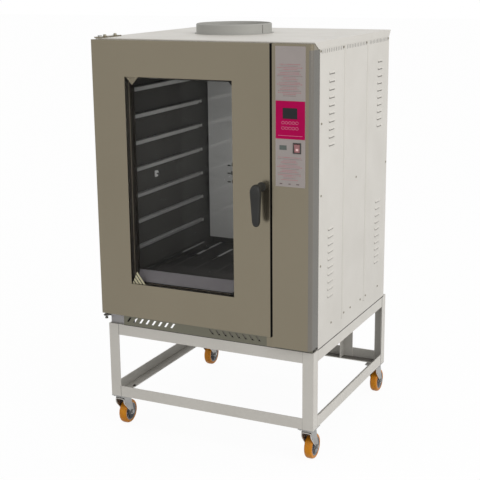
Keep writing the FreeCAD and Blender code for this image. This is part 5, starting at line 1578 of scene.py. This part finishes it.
@dataclass
class Handle:
    """Lever handle: one moulding that bends from a round neck into a tapered grip."""

    x: float = 0.285
    z: float = 1.224
    door_face: float = -0.5052
    grip_y: float = -0.5588
    bend: float = 0.013
    elbow_bulge: float = 0.4
    end: float = 1.065
    lean: float = 2 * MM
    neck_radius: float = 0.0168
    top_half: float = 0.0238
    end_half: float = 0.0148
    half_depth: float = 0.0135
    tip: float = 0.018
    tip_power: float = 2.2
    tip_depth_power: float = 0.8
    rose_radius: float = 0.0195
    loop_points: int = 40
    neck_steps: int = 4
    steps: int = 12

    def section(self, spot: Span, turn: float, half: Span, power: float) -> list[Vector]:
        """Loop across the lever.

        Args:
            spot: Middle (y, z).
            turn: How far the lever has bent down, in radians.
            half: Half width and half depth.
            power: Squareness of the loop.

        Returns:
            The points of the loop.
        """
        across = Vector((0.0, -math.sin(turn), math.cos(turn)))
        shift = self.lean * math.sin(turn) * max(0.0, spot[1] - self.end) / (self.z - self.end)
        middle = Vector((self.x - shift, *spot))
        rim = Shaper.squarish(*half, power, self.loop_points)
        return [middle + Vector((u, 0, 0)) + across * v for u, v in rim]

    def lever(self) -> BMesh:
        """Neck, elbow, grip and rounded tip."""
        bend_y, bend_z = self.grip_y + self.bend, self.z - self.bend
        neck, depth, steps = self.neck_radius, self.half_depth, self.steps
        down = math.pi / 2
        reach = bend_y - self.door_face
        loops = []
        for i in range(self.neck_steps):
            y = self.door_face + reach * i / self.neck_steps
            loops.append(self.section((y, self.z), 0.0, (neck, neck), 2.0))
        for i in range(steps + 1):
            share = i / steps
            turn = share * down
            spot = (bend_y - self.bend * math.sin(turn), bend_z + self.bend * math.cos(turn))
            bulge = 1 + self.elbow_bulge * math.sin(2 * turn)
            half = (neck + (self.top_half - neck) * share, bulge * (neck + (depth - neck) * share))
            loops.append(self.section(spot, turn, half, 2.0 + 2 * share))
        run = bend_z - self.end
        for i in range(1, steps + 1):
            drop = (run - self.tip) * i / steps
            half = (self.top_half + (self.end_half - self.top_half) * drop / run, depth)
            loops.append(self.section((self.grip_y, bend_z - drop), down, half, 4.0 - drop / run))
        for i in range(1, steps):
            share = math.sin(down * i / steps)
            narrow = (1 - share ** self.tip_power) ** (1 / self.tip_power)
            half = (self.end_half * narrow, depth * narrow ** self.tip_depth_power)
            spot = (self.grip_y, self.end + self.tip * (1 - share))
            loops.append(self.section(spot, down, half, 3.0 - share))
        return Shaper.loft(loops)

    def rose(self) -> BMesh:
        """Round plate where the neck meets the door."""
        r, y = self.rose_radius, self.door_face
        outline = [(y, 0.0), (y, r), (y - 2 * MM, r), (y - 3.2 * MM, r - 1.6 * MM), (y - 3.2 * MM, 0.0)]
        return Shaper.lathe(outline, Axis.Y, (self.x, 0.0, self.z), 48)

    def build(self) -> None:
        """Lever and rose as one piece."""
        lever = Shaper.merged(self.lever(), self.rose())
        fit("lever_moulding", lever, HANDLE_PLASTIC, "handle", "handle_plastic", "handle_lever")


@dataclass
class Cavity:
    """Small parts inside the cavity: liners, sill plate, painted shade over one guide, stops, intake slots
    and clip.
    """

    slot_first: float = -0.349
    slot_pitch: float = 0.116
    slot_count: int = 5
    slot_y: Span = (0.104, 0.258)
    outer_y: tuple[Span, Span] = ((0.106, 0.185), (0.239, 0.364))
    liner_width: float = 14 * MM
    outer_width: float = 16 * MM
    liner_rise: float = 1 * MM
    sill: tuple[Point, Point] = ((-0.3945, -0.4425, 0.7248), (0.2065, -0.300, 0.7262))
    wall: float = -0.395
    guide_top: float = 0.758
    guide_reach: float = 20 * MM
    guide_drop: float = 22 * MM
    guide_edge: float = 3 * MM
    shade_cover_gap: float = 0.5 * MM
    shade_cover_y: Span = (-0.4045, 0.2225)
    lip_y: Span = (-0.004, 0.2215)
    lip_size: Span = (0.8 * MM, 6.5 * MM)
    stop_first: float = 0.878
    stop_pitch: float = 0.120
    stop_count: int = 7
    stop_drop: float = 15 * MM
    stop_thick: float = 2 * MM
    floor: float = 0.7218
    baffle_front: float = 0.2755
    intake_x: Span = (-0.254, 0.066)
    intake_z: Point = (1.065, 1.108, 1.148)
    intake_size: Point = (18 * MM, 7 * MM, 0.4 * MM)
    probe: Point = (-0.3925, -0.205, 1.180)
    grip_levels: Span = (-8 * MM, 8 * MM)

    def floor_liners(self) -> None:
        """Bare strips in the slots of the floor, the outermost slot's in two lengths."""
        near, far = self.slot_y
        places = [self.slot_first + i * self.slot_pitch for i in range(1, self.slot_count)]
        points = [(x, (near + far) / 2, self.floor) for x in places]
        size = (self.liner_width, far - near, self.liner_rise)
        Strips.row("slot_liners", points, [UP], size, LINER_STEEL, "stainless")
        for name, (near, far) in zip(("near", "far"), self.outer_y):
            points = [(self.slot_first, (near + far) / 2, self.floor)]
            size = (self.outer_width, far - near, self.liner_rise)
            Strips.row(f"outer_liner_{name}", points, [UP], size, LINER_STEEL, "stainless")

    def guide_shade_cover(self) -> None:
        """Dark cover over the lowest left tray guide as painted shade, with a bare lip along the back part of
        its edge.
        """
        root, tip = self.wall + self.shade_cover_gap, self.wall + self.guide_reach + self.shade_cover_gap
        top, low = self.guide_top + self.shade_cover_gap, self.guide_top - self.guide_drop - self.shade_cover_gap
        outline = [(root, low), (tip, self.guide_top - self.guide_edge), (tip, top), (root, top)]
        shade_cover = Shaper.prism(outline, Axis.Y, *self.shade_cover_y)
        # The cover is dark: painted shade over the lowest left tray guide.
        fit("lowest_guide_shade", shade_cover, CAVITY_ENAMEL, "oven", "cavity_enamel")
        (near, far), (thick, tall) = self.lip_y, self.lip_size
        lip = Shaper.block((tip, near, top - tall), (tip + thick, far, top), 0.2 * MM)
        fit("guide_lip", lip, RAIL_GREY, "oven", "stainless")

    def rail_stops(self) -> None:
        """Upright end plates on the left tray guides, at the back."""
        x, y = self.wall + self.guide_reach / 2, self.lip_y[1] + self.stop_thick / 2
        first = self.stop_first - self.stop_drop / 2
        points = [(x, y, first + i * self.stop_pitch) for i in range(self.stop_count)]
        size = (self.guide_reach - 0.4 * MM, self.stop_drop, self.stop_thick)
        Strips.row("rail_stops", points, [FRONT], size, RAIL_GREY, "stainless")

    def probe_clip(self) -> BMesh:
        """Clip that holds the probe: a plate with two grips."""
        x, y, z = self.probe
        low, high = (x - 3 * MM, y - 11 * MM, z - 14 * MM), (x + 3.5 * MM, y + 11 * MM, z + 14 * MM)
        parts = [Shaper.block(low, high, 0.8 * MM)]
        for level in self.grip_levels:
            low, high = z + level - 3 * MM, z + level + 3 * MM
            parts.append(Shaper.block((x, y - 9 * MM, low), (x + 4 * MM, y + 9 * MM, high), 1.2 * MM))
        return Shaper.merged(*parts)

    def build(self) -> None:
        """Liners, sill plate, painted shade cover on the guide, stops, intake slots and clip."""
        self.floor_liners()
        fit("sill_plate", Shaper.block(*self.sill, 0.4 * MM), SILL_STEEL, "oven", "stainless")
        self.guide_shade_cover()
        self.rail_stops()
        points = [(x, self.baffle_front, z) for x in self.intake_x for z in self.intake_z]
        Strips.row("intake_slots", points, [FRONT], self.intake_size, DEEP_BLACK, "black_plastic")
        fit("probe_clip", self.probe_clip(), LINER_STEEL, "oven", "stainless")


@dataclass
class Controls:
    """Overlay with its print, control module, display and rocker key on the column."""

    face: float = -0.505
    overlay_x: Span = (0.3495, 0.481)
    overlay_z: Span = (1.233, 1.801)
    overlay_thick: float = 0.5 * MM
    overlay_gap: float = 0.02 * MM
    module_x: Span = (0.351, 0.479)
    module_z: Span = (1.430, 1.584)
    module_front: float = -0.507
    panel_sunk: float = 0.2 * MM
    frame_margin: float = 2 * MM
    frame_half: float = 0.3 * MM
    case_inset: float = 13 * MM
    case_depth: float = 34 * MM
    lens_x: Span = (0.382, 0.446)
    lens_z: Span = (1.512, 1.556)
    lens_gap: float = 0.1 * MM
    lens_sunk: Span = (0.3 * MM, 1.3 * MM)
    bezel_x: Span = (0.427, 0.462)
    bezel_z: Span = (1.372, 1.416)
    lamp_x: Span = (0.3675, 0.3985)
    lamp_z: Span = (1.385, 1.4035)
    key_rows: Span = (1.496, 1.474)
    key_columns: int = 5
    key_first: float = 0.3835
    key_pitch: float = 0.0152
    key_radius: float = 5.6 * MM
    key_stretch: float = 1.08
    key_line: float = 0.7 * MM
    line_groups: tuple[tuple[float, int], ...] = ((1.604, 20), (1.262, 15))
    line_step: float = 6.6 * MM
    line_shift: float = 4 * MM
    word_pitch: float = 9.4 * MM
    word_size: Point = (8.93 * MM, 3.2 * MM, 0.1 * MM)
    word_uneven: float = 0.6
    words_least: int = 6
    words_step: int = 5
    words_range: int = 7
    mark_x: Point = (0.374, 0.412, 0.448)
    mark_z: float = 1.245
    mark_size: Point = (15 * MM, 4 * MM, 0.12 * MM)
    rule_z: float = 1.4435
    rule_size: Point = (108 * MM, 1.2 * MM, 0.12 * MM)
    rocker_half_x: float = 12.7 * MM
    rocker_half_z: float = 16.5 * MM
    rocker_edge: float = 0.9 * MM
    rocker_stations: int = 15
    rocker_front_mm: Span = (4.3, 2.0)
    rocker_back_mm: Span = (5.0, 1.5)
    rocker_swell: float = 0.25 * MM
    rocker_pivot: Point = (0.4445, -0.502, 1.394)
    rocker_tilt: float = math.radians(8)
    rocker_lens: tuple[Point, Point] = ((-5.5 * MM, -5.4 * MM, -10.5 * MM), (5.5 * MM, -4.0 * MM, -1.5 * MM))

    def overlay(self) -> BMesh:
        """Thin film with cut-outs for what comes through it."""
        holes = [(self.module_x, self.module_z), (self.bezel_x, self.bezel_z), (self.lamp_x, self.lamp_z)]
        front, back = self.face - self.overlay_thick, self.face - self.overlay_gap
        return Shaper.sheet_with_holes(self.overlay_x, self.overlay_z, holes, front, back)

    def ruled_lines(self) -> None:
        """Broken print lines above and below the module, every third one grey, with marks and a rule."""
        middle, y = sum(self.overlay_x) / 2 - self.line_shift, self.face - self.overlay_thick
        levels = [first + self.line_step * i for first, count in self.line_groups for i in range(count)]
        rose = [z for i, z in enumerate(levels) if i % 3]
        for name, finish, rows in (("rose", PRINT_ROSE, rose), ("grey", PRINT_GREY, levels[::3])):
            points = []
            for i, z in enumerate(rows):
                count = self.words_least + self.words_step * i % self.words_range
                first = middle - self.word_pitch * (count - 1) / 2
                points += [(first + k * self.word_pitch, y, z) for k in range(count)]
            name = f"overlay_{name}"
            Strips.row(name, points, [FRONT], self.word_size, finish, "module_plastic", self.word_uneven)
        points = [(x, y, self.mark_z) for x in self.mark_x]
        Strips.row(
            "overlay_marks", points, [FRONT], self.mark_size, PRINT_DARK, "black_plastic", self.word_uneven
        )
        points = [(sum(self.module_x) / 2, self.module_front + self.panel_sunk, self.rule_z)]
        Strips.row("module_rule", points, [FRONT], self.rule_size, PRINT_PALE, "module_plastic")

    def membrane_keys(self) -> Object:
        """Two rows of outlined oval keys."""
        made = Repeats("membrane_keys", dict.fromkeys(("Key Radius", "Stretch", "Line Radius"), "Float"))
        wires, given = made.wires, made.given

        def circle(count: int, radius: Socket) -> Socket:
            """A round curve."""
            inputs = {"Resolution": count, "Radius": radius}
            return wires.add("GeometryNodeCurvePrimitiveCircle", inputs).outputs[0]

        oval = made.stretched(circle(24, given["Key Radius"]), given["Stretch"])
        inputs = {"Curve": oval, "Profile Curve": circle(6, given["Line Radius"])}
        made.close(wires.add("GeometryNodeCurveToMesh", inputs).outputs[0])
        columns = [self.key_first + i * self.key_pitch for i in range(self.key_columns)]
        points = [(x, self.module_front, z) for z in self.key_rows for x in columns]
        values = {"Key Radius": self.key_radius, "Stretch": self.key_stretch, "Line Radius": self.key_line}
        return made.run("key_outlines", points, [FRONT], PRINT_PALE, values)

    def module(self) -> BMesh:
        """Membrane panel with a framed display window, and its case behind the column's face."""
        margin, inset, front = self.frame_margin, self.case_inset, self.module_front
        frame_x = (self.lens_x[0] - margin, self.lens_x[1] + margin)
        frame_z = (self.lens_z[0] - margin, self.lens_z[1] + margin)
        window = [(self.lens_x, self.lens_z)]
        panel_front, half = front + self.panel_sunk, self.frame_half
        panel = Shaper.sheet_with_holes(self.module_x, self.module_z, window, panel_front, self.face)
        rim = Shaper.sheet_with_holes(frame_x, frame_z, window, front - half, front + half)
        low = (self.module_x[0] + inset, self.face, self.module_z[0] + inset)
        high = (self.module_x[1] - inset, self.face + self.case_depth, self.module_z[1] - inset)
        return Shaper.merged(panel, rim, Shaper.block(low, high, 2 * MM))

    def display(self) -> BMesh:
        """Dark pane in the module's window."""
        (left, right), (foot, top), gap = self.lens_x, self.lens_z, self.lens_gap
        front, back = (self.module_front + sunk for sunk in self.lens_sunk)
        return Shaper.block((left + gap, front, foot + gap), (right - gap, back, top - gap), 0.3 * MM)

    def rocker(self) -> BMesh:
        """Rocker key with a hollowed face, thicker in front and thinner behind towards its ends."""
        half, edge, swell = self.rocker_half_x, self.rocker_edge, self.rocker_swell
        (front_middle, front_rise), (back_middle, back_fall) = self.rocker_front_mm, self.rocker_back_mm
        loops = []
        for i in range(self.rocker_stations):
            along = -1 + 2 * i / (self.rocker_stations - 1)
            front = -(front_middle + front_rise * along * along) * MM
            back = (back_middle - back_fall * along * along) * MM
            section = [
                (-half + edge, front), (0, front - swell), (half - edge, front), (half, front + edge),
                (half, back), (-half, back), (-half, front + edge),
            ]
            loops.append([Vector((x, y, along * self.rocker_half_z)) for x, y in section])
        return self.tilted(Shaper.loft(loops))

    def tilted(self, bm: BMesh) -> BMesh:
        """Set a mesh that was made about the origin on the rocker's pivot."""
        place = Matrix.Translation(self.rocker_pivot) @ Matrix.Rotation(self.rocker_tilt, 4, "X")
        bmesh.ops.transform(bm, matrix=place, verts=list(bm.verts))
        return bm

    def build(self) -> None:
        """Overlay with its ruled lines, the module with its keys, display and rocker."""
        fit("overlay_sheet", self.overlay(), OVERLAY_FILM, "oven", "stainless")
        self.ruled_lines()
        fit("module_panel", self.module(), MODULE_PLASTIC, "oven", "module_plastic", "control_module")
        settle(self.membrane_keys(), "oven", "module_plastic")
        fit("display_pane", self.display(), DISPLAY_PLASTIC, "oven", "display_plastic", "display_window")
        fit("rocker_moulding", self.rocker(), ROCKER_PLASTIC, "rocker", "rocker_plastic", "rocker_key")
        lens = self.tilted(Shaper.block(*self.rocker_lens, 0.6 * MM))
        fit("rocker_lens", lens, ROCKER_LENS, "rocker", "rocker_plastic")


@dataclass
class PhotoCamera:
    """Camera at the photograph's place, for a square picture."""

    place: Point = (2.14205, -4.51349, 2.10349)
    right: Point = (0.89960, 0.43660, -0.01035)
    up: Point = (-0.09697, 0.22280, 0.97002)
    forward: Point = (-0.42582, 0.87163, -0.24277)
    lens: float = 81.522
    sensor: float = 36.0
    clip: Span = (0.05, 200.0)

    def build(self) -> None:
        """Make the camera and use it."""
        data = bpy.data.cameras.new("photo_camera")
        data.lens, data.sensor_width, data.sensor_fit = self.lens, self.sensor, "AUTO"
        data.clip_start, data.clip_end = self.clip
        camera = placed("photo_camera", data)
        turn = Matrix((self.right, self.up, [-c for c in self.forward])).transposed()
        camera.matrix_world = Matrix.Translation(self.place) @ turn.to_4x4()
        bpy.context.scene.camera = camera


@dataclass
class Studio:
    """White surroundings, pale floor, a soft light from the upper right and a lamp in the cavity."""

    ambient: float = 0.75
    key_from: Point = (0.33, -0.12, 0.19)
    key_distance: float = 5.0
    key_size: float = 3.2
    key_power: float = 74.0
    aim: Point = (0.0, 0.0, 0.9)
    cavity_place: Point = (0.165, -0.40, 1.21)
    cavity_way: Point = (-0.56, 0.62, 0.0)
    cavity_size: Span = (0.06, 0.72)
    cavity_power: float = 1.65
    cavity_spread: float = math.radians(130)
    floor_half: float = 40.0
    floor_white: float = 0.955
    floor_bounce: Colour = srgb(210, 210, 210)
    floor_seen: Colour = srgb(252, 252, 252)

    @staticmethod
    def seen(wires: Wiring) -> Socket:
        """One for rays that see the surroundings directly, in a mirror or through glass."""
        path = wires.add("ShaderNodeLightPath").outputs
        mirrored = wires.math("MAXIMUM", path["Is Glossy Ray"], path["Is Transmission Ray"])
        return wires.math("MAXIMUM", path["Is Camera Ray"], mirrored)

    def world(self) -> None:
        """White sky that lights at a plain level."""
        world = bpy.data.worlds.new("studio")
        bpy.context.scene.world = world
        wires = Wiring.fresh(world)
        light = wires.add("ShaderNodeBackground", {"Color": WHITE, "Strength": self.ambient})
        white = wires.add("ShaderNodeBackground", {"Color": WHITE, "Strength": 1.0})
        inputs = {0: self.seen(wires), 1: light.outputs[0], 2: white.outputs[0]}
        mixed = wires.add("ShaderNodeMixShader", inputs)
        wires.add("ShaderNodeOutputWorld", {"Surface": mixed.outputs[0]})

    def floor(self) -> None:
        """Pale floor that keeps the oven's shadow."""
        bm = bmesh.new()
        bmesh.ops.create_grid(bm, x_segments=1, y_segments=1, size=self.floor_half)
        mesh = bpy.data.meshes.new("floor")
        bm.to_mesh(mesh)
        bm.free()
        material = bpy.data.materials.new("floor")
        wires = Wiring.fresh(material)
        seen = self.seen(wires)
        colour = wires.mix(seen, self.floor_bounce, self.floor_seen)
        pale = wires.add("ShaderNodeBsdfDiffuse", {"Color": colour})
        white = wires.add("ShaderNodeEmission", {"Color": WHITE, "Strength": 1.0})
        share = wires.math("MULTIPLY", seen, self.floor_white)
        mixed = wires.add("ShaderNodeMixShader", {0: share, 1: pale.outputs[0], 2: white.outputs[0]})
        wires.add("ShaderNodeOutputMaterial", {"Surface": mixed.outputs[0]})
        mesh.materials.append(material)
        placed("floor", mesh)

    @staticmethod
    def lamp(name: str, power: float, place: Vector, way: Vector, **outline) -> None:
        """Area light at a place.

        Args:
            name: Name of the light.
            power: Its power in watts.
            place: Where it stands.
            way: The way it shines.
            **outline: Shape, sizes and spread of the light.
        """
        data = bpy.data.lights.new(name, "AREA")
        data.energy = power
        for key, value in outline.items():
            setattr(data, key, value)
        lamp = placed(name, data)
        lamp.location = place
        lamp.rotation_mode = "QUATERNION"
        lamp.rotation_quaternion = way.to_track_quat("-Z", "Y")

    def key(self) -> None:
        """Large soft light from the right."""
        way = Vector(self.key_from).normalized()
        place = Vector(self.aim) + way * self.key_distance
        self.lamp("key", self.key_power, place, -way, shape="SQUARE", size=self.key_size)

    def cavity_lamp(self) -> None:
        """Upright lamp behind the right edge of the oven's mouth."""
        width, height = self.cavity_size
        place, way = Vector(self.cavity_place), Vector(self.cavity_way)
        self.lamp(
            "cavity_lamp", self.cavity_power, place, way, shape="RECTANGLE", size=width, size_y=height,
            spread=self.cavity_spread,
        )

    def build(self) -> None:
        """Set up sky, floor, lights and the plain view transform."""
        self.world()
        self.floor()
        self.key()
        self.cavity_lamp()
        bpy.context.scene.view_settings.view_transform = "Standard"


def main() -> None:
    """Build the sub-assemblies in order."""
    logging.basicConfig(level=logging.INFO, format="%(name)s: %(message)s")
    Studio().build()
    PhotoCamera().build()
    CarriedOver().dress()
    Stand().build()
    for corner, side, end in (("fl", -1, -1), ("fr", 1, -1), ("rl", -1, 1), ("rr", 1, 1)):
        Caster(corner, side, end).build()
    Cabinet().build()
    Door().build()
    Handle().build()
    Cavity().build()
    Controls().build()
    LOG.info("boxes written")


if __name__ == "__main__":
    main()
